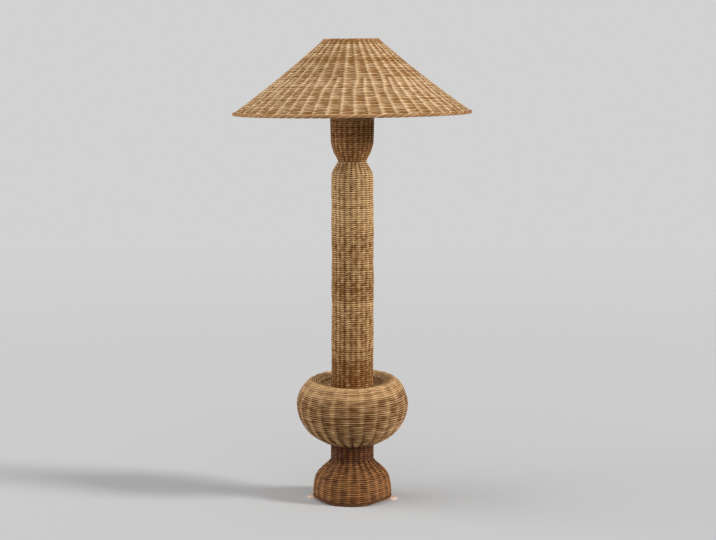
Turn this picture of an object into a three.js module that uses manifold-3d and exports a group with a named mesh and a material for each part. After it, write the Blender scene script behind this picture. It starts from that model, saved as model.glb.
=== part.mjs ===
// Rattan floor lamp. Four woven sections stand on one another over a steel pipe: base, globe, column and
// capital. A woven cone shade sits on a harp above the socket. Millimetres, +Z up. The origin is on the
// floor under the middle of the base, and the foot slat lies along X.

import * as THREE from "three";
import { mergeVertices } from "three/addons/utils/BufferGeometryUtils.js";
import Module from "manifold-3d";

const wasm = await Module();
wasm.setup();

// Fits
const seatGap = 0.3;
const cutOverrun = 2;

// Facets of round parts, and steps along curved outlines
const turnedSteps = 16;
const plainSteps = 12;
const screwSteps = 8;
const wireSides = 6;
const hoopSides = 4;
const borderSides = 8;
const bellSteps = 8;
const globeSteps = 14;
const glassSteps = 9;
const harpSteps = 34;
const armSteps = 5;

// Weave of the four body sections
const stakeCount = 24;
const stepsPerStake = 2;
const bodySteps = stakeCount * stepsPerStake;
const wall = 8;
const ribHeight = 2.2;

// Foot slat and the parts at the bottom of the pipe
const slatLength = 304;
const slatWidth = 44;
const slatThickness = 8.5;
const slatScrewSpacing = 160;
const slatScrewRowSpacing = 22;
const slatScrewRadius = 2;
const slatScrewHeadRadius = 4.2;
const slatScrewHeadDepth = 2.4;
const slatScrewBite = 8;
const basePlateThickness = 12;
const weightRadius = 96;
const weightThickness = 24;
const weightBevel = 4;

// Base
const baseRadius = 133.5;
const bellHeight = 138;
const baseHeight = 191;
const neckRadius = 73;
const baseBorderRadius = 5;
const rimLiftFade = 70;
const bushingRadius = 6;
const bushingBoreRadius = 3.6;
const bushingFlangeRadius = 9;
const bushingFlangeThickness = 2;
const bushingLength = 16;
const bushingHeight = 40;

// Globe
const globeRadius = 189;
const globeHeight = 221;
const crownDip = 22;
const crownLean = 10.3;
const crownLeanDegrees = 94;
const globeHoopRadius = 4;

// Column and capital
const columnRadius = 71;
const columnHeight = 764;
const columnBow = 1.7;
const columnRows = 6;
const shoulderHeight = 52;
const waistRadius = 48;
const capitalRadius = 74;
const capitalHeight = 145;
const capitalBowlHeight = 72;
const capitalBorderRadius = 4.5;
const capitalPlateRecess = 8;

// Wooden spacers inside the sections
const spacerThickness = 12;
const crownSpacerReach = 10;

// Pipe, washers and nuts
const pipeRadius = 5;
const pipeBoreRadius = 3.4;
const pipeTopReach = 7;
const washerThickness = 1.5;
const washerRadius = 15;
const nutAcrossFlats = 16;
const nutThickness = 5;

// Socket
const socketRadius = 17;
const socketSheet = 0.9;
const socketHubRadius = 8;
const socketHubHeight = 7;
const socketCapHeight = 20;
const socketShellHeight = 46;
const socketBodyHeight = 21;
const screwShellSheet = 0.8;
const screwShellHeight = 24;
const contactRadius = 4;
const contactThickness = 1.2;
const knobHeight = 26;
const knobShaftRadius = 2;
const knobShaftSeat = 5;
const knobRadius = 6.5;
const knobLength = 11;
const knobStandoff = 5;
const knobGrooves = 10;
const knobGrooveDepth = 0.7;

// Light bulb
const bulbRadius = 30;
const bulbHeight = 108;
const bulbGlass = 1.2;
const bulbCapRadius = 13.1;
const bulbCapHeight = 24;
const bulbCapTaper = 4;
const bulbTipRadius = 3.5;
const bulbTipHeight = 2.4;

// Harp, saddle and sleeves
const saddleHalfWidth = 27;
const saddleStripWidth = 14;
const saddleTabWidth = 5;
const saddleTabHeight = 16;
const harpWireRadius = 2;
const harpFerruleRadius = 2.9;
const harpFerruleLength = 20;
const harpBowHalfWidth = 57;
const harpCollarRadius = 8;
const harpCollarThickness = 3;
const harpStudRadius = 3.1;
const harpStudLength = 10;
const sleeveRadius = 4.4;
const sleeveLength = 26;

// Finial
const finialRadius = 8;
const finialHeight = 21;
const finialRoof = 4;

// Shade
const shadeRadius = 399;
const shadeTopRadius = 95;
const shadeTopLevel = 1552;
const shadeHeight = 250.5;
const shadeWall = 6;
const shadeSag = 5;
const shadeRibHeight = 1.9;
const shadeUpperStakes = 36;
const shadeLowerStakes = 54;
const shadeSteps = 4 * shadeLowerStakes;
const shadeBorderRadius = 5.5;
const shadeTopBorderRadius = 4.5;
const shadeHoopRadius = 3;
const shadeHoopInset = 7;
const shadeLeanDegrees = 0.65;
const fitterDrop = 27;
const fitterWireRadius = 1.8;
const fitterArms = 3;
const fitterWasherRadius = 10;
const fitterWasherThickness = 1.5;
const fitterRingInset = 8;

// Levels on the pipe, from the floor up
const basePlateLevel = slatThickness;
const weightLevel = basePlateLevel + basePlateThickness;
const crestLevel = baseHeight + globeHeight;
const crownLevel = crestLevel - crownDip;
const columnFoot = crownLevel - wall;
const waistLevel = columnFoot + columnHeight;
const capitalTop = waistLevel + capitalHeight;
const capitalPlateTop = capitalTop - capitalPlateRecess;
const saddleLevel = capitalPlateTop + washerThickness;
const saddleNutLevel = saddleLevel + washerThickness;
const socketLevel = saddleNutLevel + nutThickness;
const pipeTop = socketLevel + pipeTopReach;
const bottomWasherLevel = basePlateLevel - washerThickness;
const bottomNutLevel = bottomWasherLevel - nutThickness;

// Levels and radii of the socket and the bulb
const socketShellLevel = socketLevel + socketHubHeight + socketSheet + seatGap;
const socketInnerRadius = socketRadius - socketSheet;
const socketShellRadius = socketInnerRadius - seatGap;
const socketBodyRadius = socketShellRadius - socketSheet - seatGap;
const socketBodyTop = socketShellLevel + seatGap + socketBodyHeight;
const knobLevel = socketLevel + knobHeight;
const screwShellInnerRadius = bulbCapRadius + seatGap;
const bulbTipLevel = socketBodyTop + contactThickness + seatGap;
const bulbCapLevel = bulbTipLevel + bulbTipHeight;

// Levels of the harp and the shade
const harpFoot = saddleNutLevel + saddleTabHeight + seatGap;
const fitterLevel = shadeTopLevel - fitterDrop;
const harpCollarLevel = fitterLevel - harpCollarThickness;
const harpHeight = harpCollarLevel - harpFoot;
const shadeBorderLevel = shadeTopLevel - shadeHeight + shadeBorderRadius;
const shadeLean = THREE.MathUtils.degToRad(-shadeLeanDegrees);

// The bell of the base, from its foot up to the neck: shares of the swell over the neck, and of its height
const bellOutlineShares = [
  [0.975, 0.075],
  [1, 0.15],
  [0.955, 0.4],
  [0.82, 0.62],
  [0.5, 0.79],
  [0.2, 0.905],
  [0, 1],
];

// The globe, from its seat up over the crest: shares of its radius and of its height
const globeOutlineShares = [
  [0.41, 0],
  [0.513, 0.03],
  [0.77, 0.17],
  [0.943, 0.39],
  [1, 0.61],
  [0.955, 0.79],
  [0.855, 0.926],
  [0.755, 0.994],
  [0.64, 0.98],
];

// Where the rim of the base starts to lift off the floor, and where it is fully lifted, towards its ends:
// shares of its radius
const rimLiftShares = [0.3, 0.87];

// Shoulder of the column, and bowl of the capital: shares of the waist's narrowing, and of their heights
const shoulderOutlineShares = [[0.95, 0], [0.87, 0.25], [0.64, 0.49], [0.27, 0.76], [0, 1]];
const bowlOutlineShares = [[0, 0], [0.24, 0.2], [0.54, 0.39], [0.86, 0.76], [0.93, 1]];

// One half of the harp, from its foot to its top: shares of the way out to the bow, and of its height
const harpShares = [[0, 0], [0, 0.08], [0, 0.16], [0.58, 0.34], [1, 0.55], [0.8, 0.78]];
const harpTopShares = [0.5, 0.935];

// Glass of the bulb, from the cap up: shares of its radius and of the height over the cap
const glassOutlineShares = [
  [0.4, 0],
  [0.46, 0.12],
  [0.66, 0.3],
  [0.95, 0.52],
  [0.97, 0.72],
  [0.72, 0.92],
  [0.3, 0.995],
];

// Finial, from its foot up: shares of its radius and height
const finialOutlineShares = [
  [0.85, 0],
  [0.85, 0.16],
  [0.66, 0.24],
  [0.7, 0.4],
  [1, 0.66],
  [0.78, 0.9],
  [0.3, 1],
];

const lamp = new THREE.Group();

// A mesh with its own material, put in its group
function addPiece(name, geometry, finish, parent = lamp) {
  const mesh = new THREE.Mesh(geometry, new THREE.MeshStandardMaterial(finish));
  mesh.name = name;
  parent.add(mesh);
  return mesh;
}

const rattan = { color: 0xb4936d, roughness: 0.75, metalness: 0 };
const darkRattan = { color: 0x8a6543, roughness: 0.8, metalness: 0 };
const cane = { color: 0xa98257, roughness: 0.7, metalness: 0 };
const plywood = { color: 0xc8a878, roughness: 0.7, metalness: 0 };
const paleWood = { color: 0xe3c0a0, roughness: 0.55, metalness: 0 };
const castIron = { color: 0x4a4a4c, roughness: 0.7, metalness: 0.6 };
const zincSteel = { color: 0xb9bcc0, roughness: 0.4, metalness: 1 };
const brass = { color: 0xc9a45c, roughness: 0.3, metalness: 1 };
const blackPlastic = { color: 0x1c1b1a, roughness: 0.45, metalness: 0 };
const opalGlass = { color: 0xf4f1ea, roughness: 0.3, metalness: 0 };

// Corners of a regular polygon on a circle
function roundPoints(radius, steps) {
  const points = [];
  for (let i = 0; i < steps; i += 1) {
    const angle = (i / steps) * 2 * Math.PI;
    points.push(new THREE.Vector2(radius * Math.cos(angle), radius * Math.sin(angle)));
  }
  return points;
}

// How far the middle of a polygon's side lies inside its circle
function facetDrop(radius, steps) {
  return radius * (1 - Math.cos(Math.PI / steps));
}

// A flat plate with a round hole, its underside at the given level
function plateGeometry(outline, holeRadius, thickness, level, holeSteps = plainSteps) {
  const shape = new THREE.Shape(outline);
  shape.holes.push(new THREE.Path(roundPoints(holeRadius, holeSteps)));
  const geometry = new THREE.ExtrudeGeometry(shape, { depth: thickness, bevelEnabled: false });
  return geometry.translate(0, 0, level);
}

// A profile of radius and height turned about Z
function turned(profile, steps) {
  return new THREE.LatheGeometry(profile, steps).rotateX(Math.PI / 2);
}

// A ring of round section round Z
function ringGeometry(radius, tubeRadius, level, steps, sides = wireSides) {
  return new THREE.TorusGeometry(radius, tubeRadius, sides, steps).translate(0, 0, level);
}

// A round bar along a curve
function barGeometry(curve, radius, sides, steps) {
  const section = new THREE.Shape(roundPoints(radius, sides));
  return new THREE.ExtrudeGeometry(section, { steps, extrudePath: curve, bevelEnabled: false });
}

// A closed geometry as a solid that can be cut and joined
function solidOf(geometry) {
  const bare = geometry.clone();
  bare.deleteAttribute("normal");
  bare.deleteAttribute("uv");
  const merged = mergeVertices(bare);
  const corners = merged.index.array;
  const triangles = [];
  for (let i = 0; i < corners.length; i += 3) {
    const [a, b, c] = [corners[i], corners[i + 1], corners[i + 2]];
    if (a !== b && b !== c && c !== a) triangles.push(a, b, c);
  }
  const mesh = new wasm.Mesh({
    numProp: 3,
    vertProperties: new Float32Array(merged.attributes.position.array),
    triVerts: new Uint32Array(triangles),
  });
  return new wasm.Manifold(mesh);
}

// A solid as a geometry
function geometryOf(solid) {
  const mesh = solid.getMesh();
  const geometry = new THREE.BufferGeometry();
  geometry.setAttribute("position", new THREE.BufferAttribute(new Float32Array(mesh.vertProperties), 3));
  geometry.setIndex(new THREE.BufferAttribute(new Uint32Array(mesh.triVerts), 1));
  geometry.computeVertexNormals();
  return geometry;
}

// Evenly spaced points on a smooth line through a few chosen ones
function smoothOutline(points, steps) {
  return new THREE.SplineCurve(points).getSpacedPoints(steps);
}

// Outward normals of an outline that runs up the outer side; the ends take the normals given
function outlineNormals(outline, firstNormal, lastNormal) {
  return outline.map((point, i) => {
    if (i === 0) return firstNormal;
    if (i === outline.length - 1) return lastNormal;
    const along = outline[i + 1].clone().sub(outline[i - 1]).normalize();
    return new THREE.Vector2(along.y, -along.x);
  });
}

const outward = new THREE.Vector2(1, 0);
const upward = new THREE.Vector2(0, 1);
const downward = new THREE.Vector2(0, -1);

// The inner side of a wall: the outline moved in by the wall's thickness, with every second point
function innerOutline(outline, { thickness, firstNormal = outward, lastNormal = outward }) {
  const normals = outlineNormals(outline, firstNormal, lastNormal);
  return outline
    .map((point, i) => point.clone().addScaledVector(normals[i], -thickness))
    .filter((point, i) => i === outline.length - 1 || i % 2 === 0);
}

// Radius at which a hoop at the given level keeps the clearance to an inner side that runs upwards
function radiusInside(inner, level, clearance) {
  const radii = [];
  for (let i = 1; i < inner.length; i += 1) {
    const [low, high] = [inner[i - 1], inner[i]];
    const along = high.clone().sub(low).normalize();
    const near = level > low.y - clearance && level < high.y + clearance;
    if (near && along.y > 0) radii.push(low.x - (clearance - along.x * (level - low.y)) / along.y);
  }
  return Math.min(...radii);
}

// A woven wall turned about Z. Its outer side swells over each stake, and its inner side is smooth
function wovenWall(outline, weave) {
  const { rib, ribsAt, ridge, steps, firstNormal = outward, lastNormal = outward } = weave;
  const normals = outlineNormals(outline, firstNormal, lastNormal);
  const last = outline.length - 1;
  const inner = innerOutline(outline, weave);
  const profile = [...outline, ...inner.reverse(), outline[0].clone()];
  const geometry = new THREE.LatheGeometry(profile, steps);
  const position = geometry.attributes.position;
  for (let v = 0; v < position.count; v += 1) {
    const row = v % profile.length === profile.length - 1 ? 0 : v % profile.length;
    if (row > last) continue;
    const angle = (Math.floor(v / profile.length) / steps) * 2 * Math.PI;
    const valley = rib * (1 - ridge(Math.cos(ribsAt(row, last) * angle)));
    const radius = outline[row].x - valley * normals[row].x;
    const height = outline[row].y - valley * normals[row].y;
    position.setXYZ(v, radius * Math.sin(angle), height, radius * Math.cos(angle));
  }
  return geometry.rotateX(Math.PI / 2);
}

// How high the outer side stands at a place in the wave from stake to stake: rounded all over, or flat between
const roundedRidge = (wave) => (1 + wave) / 2;
const narrowRidge = (wave) => Math.max(0, wave);

const bodyWeave = {
  thickness: wall,
  rib: ribHeight,
  ribsAt: () => stakeCount,
  ridge: roundedRidge,
  steps: bodySteps,
};

// Moves every vertex up by what a function of its place gives
function raiseVertices(geometry, rise) {
  const position = geometry.attributes.position;
  for (let v = 0; v < position.count; v += 1) {
    const [x, y, z] = [position.getX(v), position.getY(v), position.getZ(v)];
    position.setZ(v, z + rise(x, y, z));
  }
  return geometry;
}

// The rim of the base is arched: it touches the floor at the front and back and rides over the slat
const rimLift = slatThickness + 2 * seatGap;
const bellFoot = 2 * baseBorderRadius + seatGap;
const basePlateRadius = baseRadius - 2 * baseBorderRadius - seatGap;

function rimRise(x, y) {
  const [start, full] = rimLiftShares;
  return rimLift * THREE.MathUtils.smoothstep(Math.abs(x) / Math.hypot(x, y), start, full);
}

function addBase() {
  const swell = baseRadius - neckRadius;
  const bellPoints = bellOutlineShares.map(
    ([out, up]) => new THREE.Vector2(neckRadius + out * swell, up * bellHeight),
  );
  bellPoints[0].y = bellFoot;
  const outline = smoothOutline(bellPoints, bellSteps);
  outline.push(new THREE.Vector2(neckRadius, baseHeight));
  const bell = raiseVertices(wovenWall(outline, bodyWeave), (x, y, z) => {
    const fade = Math.max(0, 1 - (z - bellFoot) / rimLiftFade);
    return rimRise(x, y) * fade;
  });
  const holeRadius = bushingRadius + seatGap;
  const hole = new THREE.CylinderGeometry(holeRadius, holeRadius, baseRadius, plainSteps);
  hole.translate(0, baseRadius, bushingHeight);
  addPiece("base_skin", geometryOf(solidOf(bell).subtract(solidOf(hole))), rattan);

  const borderPath = baseRadius - baseBorderRadius;
  const border = ringGeometry(borderPath, baseBorderRadius, baseBorderRadius, bodySteps, borderSides);
  addPiece("base_border", raiseVertices(border, rimRise), darkRattan);

  addBushing();
}

// The flanged bushing in the back of the base, where the mains lead leaves
function addBushing() {
  const outside = bushingLength / 2;
  const profile = [
    new THREE.Vector2(bushingBoreRadius, -outside),
    new THREE.Vector2(bushingRadius, -outside),
    new THREE.Vector2(bushingRadius, outside - bushingFlangeThickness),
    new THREE.Vector2(bushingFlangeRadius, outside - bushingFlangeThickness),
    new THREE.Vector2(bushingFlangeRadius, outside - bushingFlangeThickness / 2),
    new THREE.Vector2(bushingFlangeRadius - bushingFlangeThickness / 2, outside),
    new THREE.Vector2(bushingBoreRadius, outside),
    new THREE.Vector2(bushingBoreRadius, -outside),
  ];
  const bushing = addPiece("cord_bushing", new THREE.LatheGeometry(profile, plainSteps), blackPlastic);
  const flangeSeat = baseRadius + seatGap - (outside - bushingFlangeThickness);
  bushing.position.set(0, flangeSeat, bushingHeight);
}

function addFoot() {
  const slatEnd = slatWidth / 2;
  const straight = slatLength / 2 - slatEnd;
  const outline = new THREE.Shape();
  outline.moveTo(-straight, -slatEnd);
  outline.lineTo(straight, -slatEnd);
  outline.absarc(straight, 0, slatEnd, -Math.PI / 2, Math.PI / 2);
  outline.lineTo(-straight, slatEnd);
  outline.absarc(-straight, 0, slatEnd, Math.PI / 2, (3 * Math.PI) / 2);
  outline.holes.push(new THREE.Path(roundPoints(washerRadius + seatGap, plainSteps)));
  const slab = new THREE.ExtrudeGeometry(outline, {
    depth: slatThickness,
    bevelEnabled: false,
    curveSegments: plainSteps,
  });
  const plate = plateGeometry(
    roundPoints(basePlateRadius, bodySteps),
    pipeRadius + seatGap,
    basePlateThickness,
    basePlateLevel,
  );
  let slat = solidOf(slab);
  let basePlate = solidOf(plate);
  for (const [i, side] of [[1, 1], [1, -1], [-1, -1], [-1, 1]].entries()) {
    const x = (side[0] * slatScrewSpacing) / 2;
    const y = (side[1] * slatScrewRowSpacing) / 2;
    const cutter = solidOf(screwGeometry(seatGap, cutOverrun).translate(x, y, 0));
    slat = slat.subtract(cutter);
    basePlate = basePlate.subtract(cutter);
    addPiece(`slat_screw_${i + 1}`, screwGeometry(0, 0).translate(x, y, seatGap), zincSteel);
  }
  addPiece("foot_slat", geometryOf(slat), paleWood);
  addPiece("base_plate", geometryOf(basePlate), plywood);
}

// A countersunk screw that points up from the floor; its cutter is wider by the gap and runs past its head
function screwGeometry(gap, overrun) {
  const length = slatThickness + slatScrewBite - slatScrewRadius;
  const profile = [
    new THREE.Vector2(0, -overrun),
    new THREE.Vector2(slatScrewHeadRadius + gap, -overrun),
    new THREE.Vector2(slatScrewHeadRadius + gap, seatGap),
    new THREE.Vector2(slatScrewRadius + gap, slatScrewHeadDepth + gap),
    new THREE.Vector2(slatScrewRadius + gap, length + gap),
    new THREE.Vector2(0, length + slatScrewRadius + gap),
  ];
  return turned(profile, screwSteps);
}

function addWeight() {
  const profile = [
    new THREE.Vector2(pipeRadius + seatGap, weightLevel),
    new THREE.Vector2(weightRadius, weightLevel),
    new THREE.Vector2(weightRadius, weightLevel + weightThickness - weightBevel),
    new THREE.Vector2(weightRadius - weightBevel, weightLevel + weightThickness),
    new THREE.Vector2(pipeRadius + seatGap, weightLevel + weightThickness),
    new THREE.Vector2(pipeRadius + seatGap, weightLevel),
  ];
  addPiece("base_weight", turned(profile, stakeCount), castIron);
  addNut("weight_nut", weightLevel + weightThickness);
}

function addNut(name, level) {
  const cornerRadius = nutAcrossFlats / 2 / Math.cos(Math.PI / 6);
  const hexagon = roundPoints(cornerRadius, 6);
  addPiece(name, plateGeometry(hexagon, pipeRadius + seatGap, nutThickness, level), zincSteel);
}

function addWasher(name, level) {
  const edge = roundPoints(washerRadius, plainSteps);
  addPiece(name, plateGeometry(edge, pipeRadius + seatGap, washerThickness, level), zincSteel);
}

function addPipe() {
  const edge = roundPoints(pipeRadius, plainSteps);
  const pipe = plateGeometry(edge, pipeBoreRadius, pipeTop - bottomNutLevel, bottomNutLevel);
  addPiece("centre_pipe", pipe, zincSteel);
}

// A round wooden spacer on the pipe
function addSpacer(name, radius, level) {
  const edge = roundPoints(radius, stakeCount);
  addPiece(name, plateGeometry(edge, pipeRadius + seatGap, spacerThickness, level), plywood);
}

// The top of the globe dips towards the column, and its crest leans: low at the front and high at the back
function addGlobe() {
  const seatRadius = neckRadius - wall + seatGap;
  const crownRadius = columnRadius + seatGap;
  const points = globeOutlineShares.map(
    ([out, up]) => new THREE.Vector2(out * globeRadius, baseHeight + up * globeHeight),
  );
  points.push(new THREE.Vector2(crownRadius, crownLevel));
  const outline = [new THREE.Vector2(seatRadius, baseHeight), ...smoothOutline(points, globeSteps)];
  const weave = { ...bodyWeave, firstNormal: downward, lastNormal: upward };
  const crestRadius = globeOutlineShares.at(-2)[0] * globeRadius;
  const middle = (baseHeight + crestLevel) / 2;
  const leanAngle = THREE.MathUtils.degToRad(crownLeanDegrees);
  const globe = raiseVertices(wovenWall(outline, weave), (x, y, z) => {
    const risen = THREE.MathUtils.smoothstep(z, middle, crestLevel - wall);
    const reached = THREE.MathUtils.smoothstep(Math.hypot(x, y), crownRadius, crestRadius);
    const along = (x * Math.cos(leanAngle) + y * Math.sin(leanAngle)) / crestRadius;
    return crownLean * along * risen * reached;
  });
  addPiece("globe_skin", globe, rattan);

  const widest = baseHeight + globeOutlineShares[4][1] * globeHeight;
  const hoopPath = radiusInside(innerOutline(outline, weave), widest, globeHoopRadius + 2 * seatGap);
  addPiece("globe_hoop", ringGeometry(hoopPath, globeHoopRadius, widest, stakeCount), cane);
}

// The column bows a little towards its right side
function addColumn() {
  const narrowing = columnRadius - waistRadius;
  const shoulder = shoulderOutlineShares.map(
    ([out, up]) => new THREE.Vector2(waistRadius + out * narrowing, waistLevel - (1 - up) * shoulderHeight),
  );
  const straight = [];
  for (let i = 0; i <= columnRows; i += 1) {
    const level = THREE.MathUtils.lerp(columnFoot, waistLevel - 2 * shoulderHeight, i / columnRows);
    straight.push(new THREE.Vector2(columnRadius, level));
  }
  const column = wovenWall([...straight, ...shoulder], bodyWeave);
  const position = column.attributes.position;
  for (let v = 0; v < position.count; v += 1) {
    const share = (position.getZ(v) - columnFoot) / columnHeight;
    position.setX(v, position.getX(v) + columnBow * Math.sin(Math.PI * share));
  }
  addPiece("column_skin", column, rattan);
}

function addCapital() {
  const swell = capitalRadius - waistRadius;
  const bowl = bowlOutlineShares.map(
    ([out, up]) => new THREE.Vector2(waistRadius + out * swell, waistLevel + up * capitalBowlHeight),
  );
  const lip = new THREE.Vector2(capitalRadius, capitalTop - 2 * capitalBorderRadius - seatGap);
  addPiece("capital_skin", wovenWall([...bowl, lip], bodyWeave), rattan);
  const borderPath = capitalRadius - capitalBorderRadius;
  const borderLevel = capitalTop - capitalBorderRadius;
  const border = ringGeometry(borderPath, capitalBorderRadius, borderLevel, bodySteps);
  addPiece("capital_border", border, darkRattan);
}

function addSpacers() {
  addSpacer("neck_spacer", neckRadius - wall - seatGap, baseHeight - spacerThickness);
  addSpacer("crown_spacer", columnRadius + crownSpacerReach, columnFoot - spacerThickness);
  addSpacer("waist_spacer", waistRadius - wall - seatGap, waistLevel - spacerThickness / 2);
  addSpacer("capital_spacer", capitalRadius - wall - 2 * seatGap, capitalPlateTop - spacerThickness);
}

function addSocket() {
  const floor = socketLevel + socketHubHeight;
  const cap = [
    [pipeRadius + seatGap, socketLevel],
    [socketHubRadius, socketLevel],
    [socketHubRadius, floor - socketSheet],
    [socketRadius, floor],
    [socketRadius, socketLevel + socketCapHeight],
    [socketInnerRadius, socketLevel + socketCapHeight],
    [socketInnerRadius, floor + socketSheet],
    [pipeRadius + seatGap, floor],
    [pipeRadius + seatGap, socketLevel],
  ].map(([radius, height]) => new THREE.Vector2(radius, height));
  addPiece("socket_cap", turned(cap, turnedSteps), brass);

  const shellTop = socketShellLevel + socketShellHeight;
  const step = socketLevel + socketCapHeight + seatGap;
  const shell = [
    [socketShellRadius, socketShellLevel],
    [socketShellRadius, step],
    [socketRadius, step + socketSheet],
    [socketRadius, shellTop - socketSheet],
    [socketRadius + socketSheet, shellTop],
    [socketRadius, shellTop],
    [socketInnerRadius, shellTop - socketSheet],
    [socketInnerRadius, step + 2 * socketSheet],
    [socketShellRadius - socketSheet, step + socketSheet],
    [socketShellRadius - socketSheet, socketShellLevel],
    [socketShellRadius, socketShellLevel],
  ].map(([radius, height]) => new THREE.Vector2(radius, height));
  const slot = shaftGeometry(knobShaftRadius + 2 * seatGap, 0, socketRadius + cutOverrun);
  const pierced = solidOf(turned(shell, turnedSteps)).subtract(solidOf(slot));
  addPiece("socket_shell", geometryOf(pierced), brass);

  const bodyLevel = socketShellLevel + seatGap;
  const body = [
    [0, bodyLevel],
    [socketBodyRadius, bodyLevel],
    [socketBodyRadius, socketBodyTop],
    [0, socketBodyTop],
  ].map(([radius, height]) => new THREE.Vector2(radius, height));
  const seat = shaftGeometry(
    knobShaftRadius + seatGap,
    socketBodyRadius - knobShaftSeat - seatGap,
    socketBodyRadius + cutOverrun,
  );
  const drilled = solidOf(turned(body, turnedSteps)).subtract(solidOf(seat));
  addPiece("socket_body", geometryOf(drilled), blackPlastic);

  const sleeve = roundPoints(screwShellInnerRadius + screwShellSheet, turnedSteps);
  addPiece(
    "screw_shell",
    plateGeometry(sleeve, screwShellInnerRadius, screwShellHeight, socketBodyTop, turnedSteps),
    brass,
  );

  const contact = new THREE.ExtrudeGeometry(new THREE.Shape(roundPoints(contactRadius, plainSteps)), {
    depth: contactThickness,
    bevelEnabled: false,
  });
  addPiece("centre_contact", contact.translate(0, 0, socketBodyTop), brass);
}

// A round bar that runs towards the front between two distances from the socket's axis, at the knob's level
function shaftGeometry(radius, from, to) {
  const bar = new THREE.CylinderGeometry(radius, radius, to - from, plainSteps);
  return bar.translate(0, -(from + to) / 2, knobLevel);
}

function addSwitchKnob() {
  const seat = socketBodyRadius - knobShaftSeat;
  const knobStart = socketRadius + knobStandoff;
  const shaft = shaftGeometry(knobShaftRadius, seat, knobStart + knobLength / 2);
  const grip = [];
  for (let i = 0; i < 2 * knobGrooves; i += 1) {
    const angle = (i / knobGrooves) * Math.PI;
    const radius = knobRadius - (i % 2) * knobGrooveDepth;
    grip.push(new THREE.Vector2(radius * Math.cos(angle), radius * Math.sin(angle)));
  }
  const knob = new THREE.ExtrudeGeometry(new THREE.Shape(grip), {
    depth: knobLength - knobGrooveDepth,
    bevelThickness: knobGrooveDepth,
    bevelSize: knobGrooveDepth,
    bevelOffset: -knobGrooveDepth,
    bevelSegments: 1,
  });
  knob.rotateX(Math.PI / 2).translate(0, -knobStart - knobGrooveDepth, knobLevel);
  addPiece("switch_knob", geometryOf(solidOf(shaft).add(solidOf(knob))), blackPlastic);
}

function addLightBulb() {
  const glassLevel = bulbCapLevel + bulbCapHeight;
  const glassHeight = bulbHeight - bulbTipHeight - bulbCapHeight;
  const glassPoints = glassOutlineShares.map(
    ([out, up]) => new THREE.Vector2(out * bulbRadius, glassLevel + up * glassHeight),
  );
  const outside = smoothOutline(glassPoints, glassSteps);
  outside.push(new THREE.Vector2(0, glassLevel + glassHeight));
  const normals = outlineNormals(outside, outward, upward);
  const inside = outside.map((point, i) => point.clone().addScaledVector(normals[i], -bulbGlass)).reverse();
  addPiece("bulb_glass", turned([...outside, ...inside, outside[0].clone()], turnedSteps), opalGlass);

  const cap = [
    [0, bulbCapLevel],
    [bulbTipRadius + bulbCapTaper, bulbCapLevel],
    [bulbCapRadius, bulbCapLevel + bulbCapTaper],
    [bulbCapRadius, glassLevel - seatGap],
    [0, glassLevel - seatGap],
  ].map(([radius, height]) => new THREE.Vector2(radius, height));
  addPiece("bulb_cap", turned(cap, turnedSteps), zincSteel);

  const tip = [
    [0, bulbTipLevel],
    [bulbTipRadius / 2, bulbTipLevel],
    [bulbTipRadius, bulbCapLevel - bulbTipHeight / 2],
    [bulbTipRadius, bulbCapLevel],
    [0, bulbCapLevel],
  ].map(([radius, height]) => new THREE.Vector2(radius, height));
  addPiece("bulb_contact", turned(tip, plainSteps), brass);
}

// A strip bent up at both ends, clamped between the washer and the nut
function addSaddle() {
  const half = saddleStripWidth / 2;
  const end = saddleHalfWidth + washerThickness / 2;
  const strip = new THREE.Shape([
    new THREE.Vector2(-end, -half / 2),
    new THREE.Vector2(-washerRadius, -half),
    new THREE.Vector2(washerRadius, -half),
    new THREE.Vector2(end, -half / 2),
    new THREE.Vector2(end, half / 2),
    new THREE.Vector2(washerRadius, half),
    new THREE.Vector2(-washerRadius, half),
    new THREE.Vector2(-end, half / 2),
  ]);
  strip.holes.push(new THREE.Path(roundPoints(pipeRadius + seatGap, plainSteps)));
  const plate = new THREE.ExtrudeGeometry(strip, { depth: washerThickness, bevelEnabled: false });
  let saddle = solidOf(plate.translate(0, 0, saddleLevel));
  for (const side of [-1, 1]) {
    const height = washerThickness + saddleTabHeight;
    const tab = new THREE.BoxGeometry(washerThickness, saddleTabWidth, height);
    saddle = saddle.add(solidOf(tab.translate(side * saddleHalfWidth, 0, saddleLevel + height / 2)));
  }
  addPiece("harp_saddle", geometryOf(saddle), zincSteel);
  addNut("saddle_nut", saddleNutLevel);
}

function harpPoint(side, [out, up]) {
  const x = saddleHalfWidth + out * (harpBowHalfWidth - saddleHalfWidth);
  return new THREE.Vector3(side * x, 0, harpFoot + up * harpHeight);
}

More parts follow.
